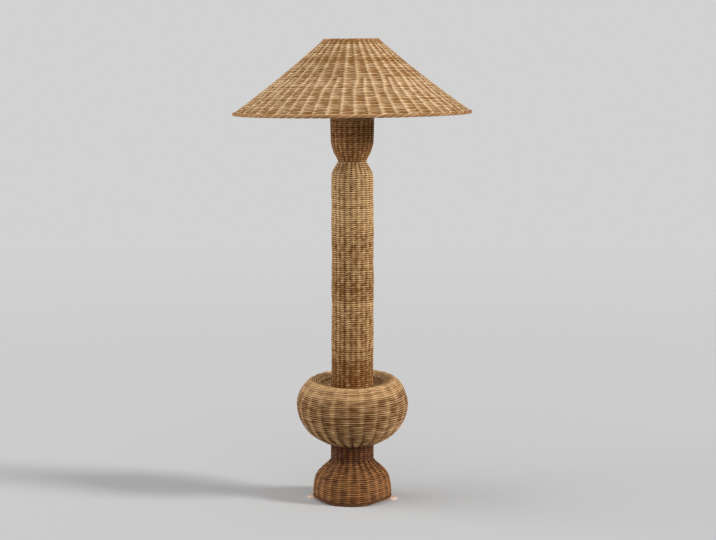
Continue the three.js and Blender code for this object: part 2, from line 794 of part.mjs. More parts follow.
// The harp's wire runs up one side and down the other, under a collar with the stud for the finial
function addHarp() {
  const left = harpShares.map((share) => harpPoint(-1, share));
  const right = harpShares.map((share) => harpPoint(1, share)).reverse();
  const [topOut, topUp] = harpTopShares;
  const shoulderX = topOut * harpBowHalfWidth;
  const shoulderZ = harpFoot + topUp * harpHeight;
  const top = [
    new THREE.Vector3(-shoulderX, 0, shoulderZ),
    new THREE.Vector3(-harpCollarRadius, 0, harpCollarLevel),
    new THREE.Vector3(harpCollarRadius, 0, harpCollarLevel),
    new THREE.Vector3(shoulderX, 0, shoulderZ),
  ];
  const path = new THREE.CatmullRomCurve3([...left, ...top, ...right], false, "centripetal");
  let harp = solidOf(barGeometry(path, harpWireRadius, wireSides, harpSteps));
  for (const side of [-1, 1]) {
    const tube = turned(
      [
        new THREE.Vector2(0, harpFoot),
        new THREE.Vector2(harpFerruleRadius, harpFoot),
        new THREE.Vector2(harpFerruleRadius, harpFoot + harpFerruleLength),
        new THREE.Vector2(0, harpFoot + harpFerruleLength),
      ],
      plainSteps,
    );
    harp = harp.add(solidOf(tube.translate(side * saddleHalfWidth, 0, 0)));
  }
  const collar = [
    [0, harpCollarLevel],
    [harpCollarRadius, harpCollarLevel],
    [harpCollarRadius, fitterLevel],
    [harpStudRadius, fitterLevel],
    [harpStudRadius, fitterLevel + harpStudLength],
    [0, fitterLevel + harpStudLength],
  ].map(([radius, height]) => new THREE.Vector2(radius, height));
  harp = harp.add(solidOf(turned(collar, plainSteps)));
  addPiece("harp", geometryOf(harp), brass);
}

// The sleeves cover the joints of the harp and the saddle, and slide up to free the harp
function addSleeves() {
  for (const [name, side] of [["harp_sleeve_left", -1], ["harp_sleeve_right", 1]]) {
    const bore = harpFerruleRadius + seatGap;
    const level = saddleNutLevel + seatGap;
    const sleeve = plateGeometry(roundPoints(sleeveRadius, plainSteps), bore, sleeveLength, level);
    addPiece(name, sleeve.translate(side * saddleHalfWidth, 0, 0), brass);
  }
}

function addFinial() {
  const foot = fitterLevel + fitterWasherThickness;
  const bore = harpStudRadius + 2 * seatGap;
  const roof = foot + finialHeight - finialRoof;
  const outline = finialOutlineShares.map(
    ([out, up]) => new THREE.Vector2(out * finialRadius, foot + up * finialHeight),
  );
  const boreRoof = Math.min(roof, fitterLevel + harpStudLength + 2 * seatGap);
  const profile = [
    new THREE.Vector2(0, boreRoof),
    new THREE.Vector2(bore, boreRoof),
    new THREE.Vector2(bore, foot),
    ...outline,
    new THREE.Vector2(0, foot + finialHeight),
  ];
  addPiece("finial", turned(profile, plainSteps), brass);
}

// Middle line of the shade's wall, from its lower border up to its top border, with a slight sag
const shadeFoot = new THREE.Vector2(shadeRadius - shadeBorderRadius, shadeBorderLevel);
const shadeHead = new THREE.Vector2(
  shadeTopRadius - shadeTopBorderRadius,
  shadeTopLevel - shadeTopBorderRadius,
);
const shadeSlant = shadeHead.clone().sub(shadeFoot);
const shadeSlope = shadeSlant.clone().normalize();
const shadeNormal = new THREE.Vector2(shadeSlope.y, -shadeSlope.x);

function shadePoint(distance, depth) {
  const share = distance / shadeSlant.length();
  const sag = 4 * shadeSag * share * (1 - share);
  return shadeFoot.clone().addScaledVector(shadeSlope, distance).addScaledVector(shadeNormal, -depth - sag);
}

function addShade() {
  const shade = new THREE.Group();
  shade.position.set(0, 0, shadeBorderLevel);
  shade.rotation.y = shadeLean;
  lamp.add(shade);
  const settle = (geometry) => geometry.translate(0, 0, -shadeBorderLevel);

  const lowerEnd = shadeBorderRadius + seatGap + facetDrop(shadeRadius, shadeLowerStakes);
  const upperEnd = shadeSlant.length() - shadeTopBorderRadius - seatGap;
  const added = (lowerEnd + upperEnd) / 2;
  const distances = [lowerEnd, added, added + shadeBorderRadius, upperEnd];
  const outline = distances.map((distance) => shadePoint(distance, -shadeWall / 2));
  const weave = {
    thickness: shadeWall,
    rib: shadeRibHeight,
    ribsAt: (row) => (row < 2 ? shadeLowerStakes : shadeUpperStakes),
    ridge: narrowRidge,
    steps: shadeSteps,
    firstNormal: shadeNormal,
    lastNormal: shadeNormal,
  };
  const inner = innerOutline(outline, weave);
  addPiece("shade_skin", settle(wovenWall(outline, weave)), rattan, shade);

  const border = ringGeometry(shadeFoot.x, shadeBorderRadius, shadeFoot.y, shadeLowerStakes);
  addPiece("shade_lower_border", settle(border), rattan, shade);
  const topBorder = ringGeometry(shadeHead.x, shadeTopBorderRadius, shadeHead.y, shadeUpperStakes);
  addPiece("shade_top_border", settle(topBorder), darkRattan, shade);
  const hoopLevel = inner[0].y + shadeHoopInset;
  const hoopPath = radiusInside(inner, hoopLevel, shadeHoopRadius + seatGap);
  const hoop = ringGeometry(hoopPath, shadeHoopRadius, hoopLevel, shadeUpperStakes, hoopSides);
  addPiece("shade_hoop", settle(hoop), cane, shade);
  const ringLevel = inner.at(-1).y - fitterRingInset;
  const ringPath = radiusInside(inner, ringLevel, fitterWireRadius + seatGap);
  addPiece("shade_fitter", fitterGeometry(new THREE.Vector2(ringPath, ringLevel)), zincSteel);
}

// A wire ring inside the top of the leaning shade, with arms bent to a level washer on the harp's stud
function fitterGeometry(ringAt) {
  const lean = new THREE.Matrix4()
    .makeTranslation(0, 0, shadeBorderLevel)
    .multiply(new THREE.Matrix4().makeRotationY(shadeLean))
    .multiply(new THREE.Matrix4().makeTranslation(0, 0, -shadeBorderLevel));
  const ring = ringGeometry(ringAt.x, fitterWireRadius, ringAt.y, stakeCount).applyMatrix4(lean);
  const washer = plateGeometry(
    roundPoints(fitterWasherRadius, plainSteps),
    harpStudRadius + seatGap,
    fitterWasherThickness,
    fitterLevel,
  );
  let fitter = solidOf(ring).add(solidOf(washer));
  const armLevel = fitterLevel + fitterWireRadius + seatGap;
  const armStart = (harpStudRadius + seatGap + fitterWasherRadius) / 2 + fitterWireRadius;
  for (let i = 0; i < fitterArms; i += 1) {
    const angle = (i / fitterArms) * 2 * Math.PI + Math.PI / 2;
    const along = new THREE.Vector3(Math.cos(angle), Math.sin(angle), 0);
    const end = along.clone().multiplyScalar(ringAt.x).setZ(ringAt.y).applyMatrix4(lean);
    const start = along.clone().multiplyScalar(armStart).setZ(armLevel);
    const flat = along.clone().multiplyScalar(2 * fitterWasherRadius).setZ(armLevel);
    const bend = along.clone().multiplyScalar(ringAt.x / 2).setZ((armLevel + end.z) / 2);
    const arm = new THREE.CatmullRomCurve3([start, flat, bend, end], false, "centripetal");
    fitter = fitter.add(solidOf(barGeometry(arm, fitterWireRadius, wireSides, armSteps)));
  }
  return geometryOf(fitter);
}

addFoot();
addWeight();
addWasher("bottom_washer", bottomWasherLevel);
addNut("bottom_nut", bottomNutLevel);
addPipe();
addBase();
addSpacers();
addGlobe();
addColumn();
addCapital();
addWasher("top_washer", capitalPlateTop);
addSaddle();
addSocket();
addSwitchKnob();
addLightBulb();
addHarp();
addSleeves();
addFinial();
addShade();

export default lamp;
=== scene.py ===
"""Woven rattan floor lamp: bell base, globe, column, capital and a cone shade, woven strand by strand."""

import sys
import logging
import math
from collections import defaultdict
from collections.abc import Callable
from dataclasses import dataclass, field
from enum import Enum
from functools import partial
from typing import Self

import bmesh
import bpy
import numpy as np
from mathutils import Matrix, Vector


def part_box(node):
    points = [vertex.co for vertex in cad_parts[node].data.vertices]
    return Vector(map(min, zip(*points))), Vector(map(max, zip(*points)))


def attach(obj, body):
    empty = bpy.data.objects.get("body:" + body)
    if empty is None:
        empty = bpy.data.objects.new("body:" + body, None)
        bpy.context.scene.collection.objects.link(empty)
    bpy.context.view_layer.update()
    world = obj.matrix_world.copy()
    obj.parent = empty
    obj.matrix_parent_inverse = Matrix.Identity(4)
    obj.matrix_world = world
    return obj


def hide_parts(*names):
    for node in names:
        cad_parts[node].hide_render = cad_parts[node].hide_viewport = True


MM = 0.001
TURN = 2.0 * math.pi
SIDES = 8  # sides of a strand's section
MAP_EDGE = 0.06  # share of a strand's map that stays free at each side
TUCK = 0.5  # how far stakes end inside the edges of their wall, in millimetres
LOG = logging.getLogger("rattan_lamp")

Output = bpy.types.NodeSocket
Adder = Callable[..., Output]
Points = list[tuple[float, float]]
Span = tuple[float, float]

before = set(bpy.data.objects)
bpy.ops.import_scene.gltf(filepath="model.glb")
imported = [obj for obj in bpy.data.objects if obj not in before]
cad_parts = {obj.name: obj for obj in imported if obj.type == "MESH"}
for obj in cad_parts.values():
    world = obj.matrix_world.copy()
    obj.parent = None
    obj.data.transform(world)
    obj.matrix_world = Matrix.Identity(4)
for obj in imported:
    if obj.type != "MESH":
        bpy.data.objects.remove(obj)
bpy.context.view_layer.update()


class Body(Enum):
    """The moving bodies of the frame that pieces ride on."""

    STAND = "stand"
    SHADE = "shade"
    FINIAL = "finial"
    KNOB = "switch_knob"
    BULB = "light_bulb"
    SLEEVE_LEFT = "sleeve_left"
    SLEEVE_RIGHT = "sleeve_right"


class Slot(Enum):
    """The material slots."""

    RATTAN = "rattan"
    DARK_RATTAN = "dark_rattan"
    CANE = "cane"
    PALE_WOOD = "pale_wood"
    ZINC_STEEL = "zinc_steel"
    BRASS = "brass"
    BLACK_PLASTIC = "black_plastic"
    OPAL_GLASS = "opal_glass"


def linear(hex_colour: str) -> tuple[float, ...]:
    """Turns an sRGB hex value into linear red, green and blue, with an alpha of 1."""
    channels = [int(hex_colour[start:start + 2], 16) / 255.0 for start in (1, 3, 5)]
    return (*(c / 12.92 if c <= 0.04045 else ((c + 0.055) / 1.055) ** 2.4 for c in channels), 1.0)


def add_node(
    tree: bpy.types.NodeTree, kind: str, inputs: dict | None = None, output: int | str = 0, **settings
) -> Output | None:
    """Adds a node, sets it up and links it.

    A Mix node of colours has its factor at input 0, its colours at 6 and 7 and its result at output 2.

    Args:
        tree: The node tree that takes the node.
        kind: The node's Blender type, without its start ShaderNode.
        inputs: Values or output sockets by input name or number.
        output: Name or number of the output to hand back.
        **settings: The node's own properties.

    Returns:
        The output, or None where the node has none.
    """
    node = tree.nodes.new(f"ShaderNode{kind}")
    for name, value in settings.items():
        setattr(node, name, value)
    for socket, value in (inputs or {}).items():
        if isinstance(value, bpy.types.NodeSocket):
            tree.links.new(value, node.inputs[socket])
        else:
            node.inputs[socket].default_value = value
    return node.outputs[output] if len(node.outputs) else None


@dataclass(frozen=True)
class Finish:
    """A finish that dresses pieces with one procedural material of its name."""

    name: str

    def cover(self, mesh: bpy.types.Mesh) -> None:
        """Covers a mesh with the finish's material, which is made once.

        Args:
            mesh: The mesh.
        """
        material = bpy.data.materials.get(self.name)
        if material is None:
            material = bpy.data.materials.new(self.name)
            material.use_nodes = True
            material.node_tree.nodes.clear()
            add = partial(add_node, material.node_tree)
            add("OutputMaterial", {"Surface": self.surface(add)})
        mesh.materials.clear()
        mesh.materials.append(material)

    def surface(self, add: Adder) -> Output:
        """Builds the surface shader by a function that adds nodes, and hands back its output."""
        raise NotImplementedError


@dataclass(frozen=True)
class RattanPith(Finish):
    """Peeled rattan core, split and woven damp: matte, fibrous, each strand its own shade of straw.

    The pale straw and a painted highlight give the ribs their glow, and the browner strands and the painted
    shade in the grooves draw the rows.
    """

    pale: str = "#DDB887"  # the lightest strands
    brown: str = "#9A6F43"  # the darkest strands
    russet: str = "#9C5A33"  # patches that took more stain
    groove_shade: str = "#4A2C16"  # colour of the painted shade between strands
    patch_mm: float = 90.0  # length of a patch of one shade along a strand
    fibre_mm: float = 14.0  # length of a fibre streak along a strand
    strand_shift: float = 7.31  # how far the patches are moved from one strand to the next
    russet_share: float = 0.45  # how much the stained patches show
    groove_shade_depth: float = 0.96  # how much of a strand the painted groove shade hides in the deepest groove
    gloss: float = 0.22  # specular level of the open strands; the painted groove shade takes it away in the grooves
    fuzz: float = 0.4  # weight of the fine fibres' sheen, seen along the surface

    def surface(self, add: Adder) -> Output:
        """Builds the pith's shader from the strand map, the strands' tone and the crevice mask of painted
        shade.

        Args:
            add: Adds a node to the material.

        Returns:
            The shader's output.
        """
        tone = add("Attribute", output="Fac", attribute_name="tone")
        crevice = add("Attribute", output="Fac", attribute_name="crevice")
        strand = add("UVMap", uv_map="Strand")
        parts = add("SeparateXYZ", {"Vector": strand}).node.outputs
        number = add("Math", {0: parts["Y"]}, operation="FLOOR")
        spread = add("Math", {0: number, 1: self.strand_shift}, operation="MULTIPLY")
        along = add("CombineXYZ", {"X": parts["X"], "Y": spread})
        patches, fibres = 1.0 / (self.patch_mm * MM), 1.0 / (self.fibre_mm * MM)
        place = add("VectorMath", {0: along, 1: (patches, 1.0, 1.0)}, operation="MULTIPLY")
        patch = add("TexNoise", {"Vector": place, "Scale": 1.0, "Detail": 2.0})
        stretch, shift = (0.6 * patches, 1.7, 1.0), (31.0, 5.0, 9.0)
        place = add("VectorMath", {0: along, 1: stretch, 2: shift}, operation="MULTIPLY_ADD")
        blot = add("TexNoise", {"Vector": place, "Scale": 1.0, "Detail": 1.0})
        place = add("VectorMath", {0: strand, 1: (fibres, 9.0, 1.0)}, operation="MULTIPLY")
        fibre = add("TexNoise", {"Vector": place, "Scale": 1.0, "Detail": 3.0, "Roughness": 0.6})
        swing = {"From Min": 0.3, "From Max": 0.7, "To Min": -0.3, "To Max": 0.3}
        shifted = add("MapRange", {"Value": patch, **swing})
        shade = add("Math", {0: tone, 1: shifted}, operation="ADD", use_clamp=True)
        straw = add("Mix", {0: shade, 6: linear(self.brown), 7: linear(self.pale)}, 2, data_type="RGBA")
        blots = {"From Min": 0.52, "From Max": 0.68, "To Max": self.russet_share}
        stained = add("MapRange", {"Value": blot, **blots})
        reddish = add("Mix", {0: stained, 6: straw, 7: linear(self.russet)}, 2, data_type="RGBA")
        swing = {"From Min": 0.25, "From Max": 0.75, "To Min": 0.78, "To Max": 1.12}
        streak = add("MapRange", {"Value": fibre, **swing})
        streaked = add("VectorMath", {0: reddish, "Scale": streak}, operation="SCALE")
        # Painted shade: the crevice mask darkens the colour towards the painted groove shade colour, and
        # takes gloss and sheen away there
        depth = add("MapRange", {"Value": crevice, "From Min": 0.05, "From Max": 0.75, "To Max": self.groove_shade_depth})
        colour = add("Mix", {0: depth, 6: streaked, 7: linear(self.groove_shade)}, 2, data_type="RGBA")
        open_share = add("Math", {0: 1.0, 1: depth}, operation="SUBTRACT")
        return add("BsdfPrincipled", {
            "Base Color": colour,
            "Roughness": add("MapRange", {"Value": fibre, "To Min": 0.55, "To Max": 0.8}),
            "Normal": add("Bump", {"Height": fibre, "Strength": 0.5, "Distance": 0.25 * MM}),
            "IOR": 1.5,
            "Specular IOR Level": add("Math", {0: open_share, 1: self.gloss}, operation="MULTIPLY"),
            "Sheen Weight": add("Math", {0: open_share, 1: self.fuzz}, operation="MULTIPLY"),
            "Sheen Roughness": 0.4,
            "Sheen Tint": linear(self.pale),
        })


@dataclass(frozen=True)
class Timber(Finish):
    """Sawn and sanded wood with its grain along one axis."""

    pale: str = "#E9C9AC"  # early wood
    dark: str = "#CF9F7C"  # late wood
    glue: str = "#6E4B2C"  # glue lines and end grain between plies
    ring_mm: float = 3.0  # distance between growth lines across the grain
    stretch: float = 14.0  # how many times longer the figure is along the grain
    gloss: float = 0.0  # weight of the varnish; bare wood has none
    roughness: float = 0.55
    plies_mm: float = 0.0  # thickness of a ply at the edge, or 0 for solid wood

    def surface(self, add: Adder) -> Output:
        """Builds the wood's shader.

        Args:
            add: Adds a node to the material.

        Returns:
            The shader's output.
        """
        place = add("TexCoord", output="Object")
        scale = 1.0 / (self.ring_mm * MM)
        grain = add("VectorMath", {0: place, 1: (scale / self.stretch, scale, scale)}, operation="MULTIPLY")
        figure = add("TexNoise", {"Vector": grain, "Scale": 1.0, "Detail": 4.0, "Distortion": 0.4})
        share = add("MapRange", {"Value": figure, "From Min": 0.35, "From Max": 0.65})
        colour = add("Mix", {0: share, 6: linear(self.dark), 7: linear(self.pale)}, 2, data_type="RGBA")
        if self.plies_mm > 0.0:
            height = add("SeparateXYZ", {"Vector": place}, "Z")
            ply = add("Math", {0: height, 1: TURN / (2.0 * self.plies_mm * MM)}, operation="MULTIPLY")
            wave = add("Math", {0: ply}, operation="SINE")
            band = add("MapRange", {"Value": wave, "From Min": -0.2, "From Max": 0.2, "To Max": 0.45})
            facing = add("SeparateXYZ", {"Vector": add("NewGeometry", output="Normal")}, "Z")
            level = add("Math", {0: facing}, operation="ABSOLUTE")
            fall = {"From Min": 0.4, "From Max": 0.7, "To Min": 1.0, "To Max": 0.0}
            edge = add("MapRange", {"Value": level, **fall})
            shown = add("Math", {0: band, 1: edge}, operation="MULTIPLY")
            colour = add("Mix", {0: shown, 6: colour, 7: linear(self.glue)}, 2, data_type="RGBA")
        return add("BsdfPrincipled", {
            "Base Color": colour,
            "Roughness": self.roughness,
            "Normal": add("Bump", {"Height": figure, "Strength": 0.25, "Distance": 0.2 * MM}),
            "IOR": 1.5,
            "Coat Weight": self.gloss,
            "Coat Roughness": 0.25,
        })


@dataclass(frozen=True)
class Metal(Finish):
    """Metal with the marks of how its surface was made."""

    bright: str = "#C9CCD0"  # the clean metal
    dull: str = "#8F9296"  # its tarnished or rubbed patches
    grain_mm: float = 2.0  # size of the surface grain
    stretch: float = 1.0  # stretch of the grain along Z, 1 for cast or plated metal
    roughness: float = 0.32  # of the clean metal
    dullness: float = 0.2  # roughness that the patches add
    relief_mm: float = 0.02  # height of the grain
    metallic: float = 1.0  # 1 for bare metal, less for rust

    def surface(self, add: Adder) -> Output:
        """Builds the metal's shader.

        Args:
            add: Adds a node to the material.

        Returns:
            The shader's output.
        """
        place = add("TexCoord", output="Object")
        scale = 1.0 / (self.grain_mm * MM)
        grained = add("VectorMath", {0: place, 1: (scale, scale, scale / self.stretch)}, operation="MULTIPLY")
        grain = add("TexNoise", {"Vector": grained, "Scale": 1.0, "Detail": 4.0})
        patches = add("TexNoise", {"Vector": place, "Scale": scale / 9.0, "Detail": 2.0})
        worn = add("MapRange", {"Value": patches, "From Min": 0.45, "From Max": 0.7, "To Max": 0.7})
        colour = add("Mix", {0: worn, 6: linear(self.bright), 7: linear(self.dull)}, 2, data_type="RGBA")
        rough = {"To Min": self.roughness, "To Max": self.roughness + self.dullness}
        return add("BsdfPrincipled", {
            "Base Color": colour,
            "Metallic": self.metallic,
            "Roughness": add("MapRange", {"Value": patches, **rough}),
            "Normal": add("Bump", {"Height": grain, "Strength": 0.4, "Distance": self.relief_mm * MM}),
        })


@dataclass(frozen=True)
class Phenolic(Finish):
    """Black phenolic plastic, moulded in a fine-grained die: near black, with a dry, even gloss."""

    colour: str = "#1D1B19"
    dust: str = "#8A8178"
    grain_mm: float = 0.5  # size of the die's texture

    def surface(self, add: Adder) -> Output:
        """Builds the plastic's shader.

        Args:
            add: Adds a node to the material.

        Returns:
            The shader's output.
        """
        scale = 1.0 / (self.grain_mm * MM)
        grain = add("TexNoise", {"Vector": add("TexCoord", output="Object"), "Scale": scale, "Detail": 2.0})
        dusty = add("MapRange", {"Value": grain, "From Min": 0.4, "From Max": 0.8, "To Max": 0.08})
        colour = add("Mix", {0: dusty, 6: linear(self.colour), 7: linear(self.dust)}, 2, data_type="RGBA")
        bump = add("Bump", {"Height": grain, "Strength": 0.3, "Distance": 0.03 * MM})
        return add("BsdfPrincipled", {"Base Color": colour, "Roughness": 0.42, "Normal": bump, "IOR": 1.55})


@dataclass(frozen=True)
class OpalGlass(Finish):
    """Opal glass, blown and coated white inside: a soft white body under a smooth clear skin."""

    colour: str = "#F2EFE8"
    cloud: str = "#E3DDD0"  # where the coating lies thinner
    cloud_mm: float = 18.0  # size of those places

    def surface(self, add: Adder) -> Output:
        """Builds the glass's shader.

        Args:
            add: Adds a node to the material.

        Returns:
            The shader's output.
        """
        scale = 1.0 / (self.cloud_mm * MM)
        cloud = add("TexNoise", {"Vector": add("TexCoord", output="Object"), "Scale": scale, "Detail": 2.0})
        share = add("MapRange", {"Value": cloud, "From Min": 0.35, "From Max": 0.75, "To Max": 0.35})
        colour = add("Mix", {0: share, 6: linear(self.colour), 7: linear(self.cloud)}, 2, data_type="RGBA")
        return add("BsdfPrincipled", {
            "Base Color": colour,
            "Roughness": 0.35,
            "IOR": 1.52,
            "Coat Weight": 0.8,
            "Coat Roughness": 0.05,
            "Subsurface Weight": 0.2,
            "Subsurface Radius": (0.004, 0.004, 0.004),
        })


# Peeled rattan core, straw coloured: the shade
SHADE_PITH = RattanPith("rattan_pith_shade", "#DFBD92", "#976A33", "#A0642D", "#4C2A0D")
# The same core, browner: the column
COLUMN_PITH = RattanPith("rattan_pith_column", "#D9B07A", "#805220", "#8C4D20", "#371902")
# The globe's core, browner in its fields
GLOBE_PITH = RattanPith("rattan_pith_globe", "#CEA472", "#6E4417", "#80481A", "#2C1000")
# The browner, redder bundle of the base: partly its own colour, partly painted shade of the low base
BASE_PITH = RattanPith("rattan_pith_base", "#A06E3F", "#502C12", "#683212", "#1E0B02", russet_share=0.55)
# The capital, darker and more saturated than the column: painted shade under the lampshade
CAPITAL_PITH = RattanPith("rattan_pith_capital", "#CC965C", "#7C4C24", "#8A4A20", "#361A07")
# Whole rattan rods, a little smoother and paler: the stakes under the weave
STAKE_ROD = RattanPith("rattan_stake", "#D8B080", "#A97D4E", "#A0622F", russet_share=0.25)
BASE_STAKE_ROD = RattanPith("rattan_stake_base", "#A97A4C", "#80542F", "#7C401B")
# Damp-plaited borders, some darker than the walls they close
BORDER_PITH = RattanPith("rattan_border", "#CDA272", "#8F6238", "#935527", russet_share=0.55)
CAPITAL_BORDER_PITH = RattanPith("rattan_border_dark", "#B98D5E", "#7E5530", "#8A4B22")
BASE_BORDER_PITH = RattanPith("rattan_border_base", "#724826", "#452510", "#52270E")
# Round cane with its glossy skin on, for the hoops inside
CANE = Timber("cane_skin", "#C99E66", "#9E713E", ring_mm=1.2, stretch=20.0, gloss=0.5, roughness=0.4)
# Steamed hardwood under a clear varnish: the pinkish slat that shows at both sides of the base
SLAT_WOOD = Timber("varnished_hardwood", "#E2C9B6", "#C9A78D", ring_mm=2.2, gloss=0.35, roughness=0.42)
# Birch plywood, sawn and left bare
PLYWOOD = Timber("birch_plywood", "#D9BC8C", "#B8925F", ring_mm=4.0, roughness=0.65, plies_mm=1.5)
# Grey iron as it left the sand mould
CAST_IRON = Metal("cast_iron", "#4B4B4D", "#3A312B", 0.8, roughness=0.6, relief_mm=0.25, metallic=0.7)
# Mild steel, zinc plated and passivated
ZINC = Metal("zinc_plate", "#C3C7CB", "#9EA0A0", 1.5, roughness=0.34)
# Spun brass under lacquer
BRASS = Metal("lacquered_brass", "#CBA55E", "#A98244", 1.0, stretch=0.1, roughness=0.26)
PHENOLIC = Phenolic("black_phenolic")
OPAL = OpalGlass("opal_glass")


def smooth_line(points: Points, steps: int = 10) -> np.ndarray:
    """Draws a smooth line through a few chosen points.

    Args:
        points: The points, each of two or three numbers.
        steps: Steps between one point and the next.

    Returns:
        The points of the line, one a row.
    """
    knots = np.asarray(points, float)
    padded = np.vstack([knots[:1], knots, knots[-1:]])
    t = (np.arange(steps) / steps)[:, None]
    line = [
        0.5 * (2 * b + (c - a) * t + (2 * a - 5 * b + 4 * c - d) * t * t + (3 * b - a - 3 * c + d) * t**3)
        for a, b, c, d in zip(padded, padded[1:], padded[2:], padded[3:])
    ]
    return np.vstack([*line, knots[-1:]])


def smoothstep(value: np.ndarray | float, low: float, high: float) -> np.ndarray | float:
    """Rises smoothly from 0 at low to 1 at high."""
    share = np.clip((value - low) / (high - low), 0.0, 1.0)
    return share * share * (3.0 - 2.0 * share)


def angles(count: int) -> np.ndarray:
    """Angles that share out a turn evenly."""
    return TURN * np.arange(count) / count


def around(radius: np.ndarray | float, angle: np.ndarray, height: np.ndarray | float) -> np.ndarray:
    """Points at a radius, an angle and a height round Z."""
    return np.stack(np.broadcast_arrays(radius * np.cos(angle), radius * np.sin(angle), height), -1)


def unit(vectors: np.ndarray) -> np.ndarray:
    """Vectors of length 1 along the given ones."""
    return vectors / np.linalg.norm(vectors, axis=-1, keepdims=True)


def lengths_along(line: np.ndarray) -> np.ndarray:
    """How far each point of a line lies from its start along the line."""
    return np.concatenate([[0.0], np.cumsum(np.linalg.norm(np.diff(line, axis=0), axis=1))])


def scaled(shares: Points, out: Span, up: Span) -> Points:
    """Turns shares outwards and upwards into radii and heights, which out and up give for 0 and 1."""
    return [(out[0] + a * (out[1] - out[0]), up[0] + b * (up[1] - up[0])) for a, b in shares]


def resampled(line: np.ndarray, step: float = 2.0) -> np.ndarray:
    """Sets points evenly along a line.

    Args:
        line: The line's points, one a row.
        step: About how far apart the new points lie.

    Returns:
        The new points, one a row.
    """
    lengths = lengths_along(line)
    places = np.linspace(0.0, lengths[-1], int(lengths[-1] / step) + 2)
    return np.stack([np.interp(places, lengths, column) for column in line.T], 1)


def box_of(node: str) -> tuple[Vector, Vector]:
    """The lowest and the highest corner of a CAD node, in millimetres."""
    low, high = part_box(node)
    return low / MM, high / MM


def heights_of(node: str) -> Span:
    """The lowest and the highest level of a CAD node, in millimetres."""
    low, high = box_of(node)
    return low.z, high.z


def close_and_shade(mesh: bpy.types.Mesh) -> None:
    """Welds points that coincide, turns the faces outwards and shades by angle.

    Args:
        mesh: The mesh to close.
    """
    form = bmesh.new()
    form.from_mesh(mesh)
    bmesh.ops.remove_doubles(form, verts=form.verts, dist=1e-6)
    bmesh.ops.dissolve_degenerate(form, edges=form.edges, dist=1e-7)
    bmesh.ops.recalc_face_normals(form, faces=form.faces)
    form.to_mesh(mesh)
    form.free()
    mesh.shade_smooth()
    mesh.set_sharp_from_angle(angle=math.radians(35.0))


def make_object(name: str, mesh: bpy.types.Mesh, finish: Finish) -> bpy.types.Object:
    """Makes an object of a mesh in its finish.

    Args:
        name: The object's name.
        mesh: Its mesh.
        finish: Its finish.

    Returns:
        The object.
    """
    finish.cover(mesh)
    made = bpy.data.objects.new(name, mesh)
    bpy.context.collection.objects.link(made)
    return made


def mount(piece: bpy.types.Object, node: str, body: Body) -> None:
    """Puts a piece on its body, in place of a CAD node.

    Args:
        piece: The piece.
        node: The CAD node that it stands for.
        body: The body that it rides on.
    """
    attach(piece, body.value)
    LOG.info("%s: %d faces on %s", piece.name, len(piece.data.polygons), body.value)
    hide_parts(node)


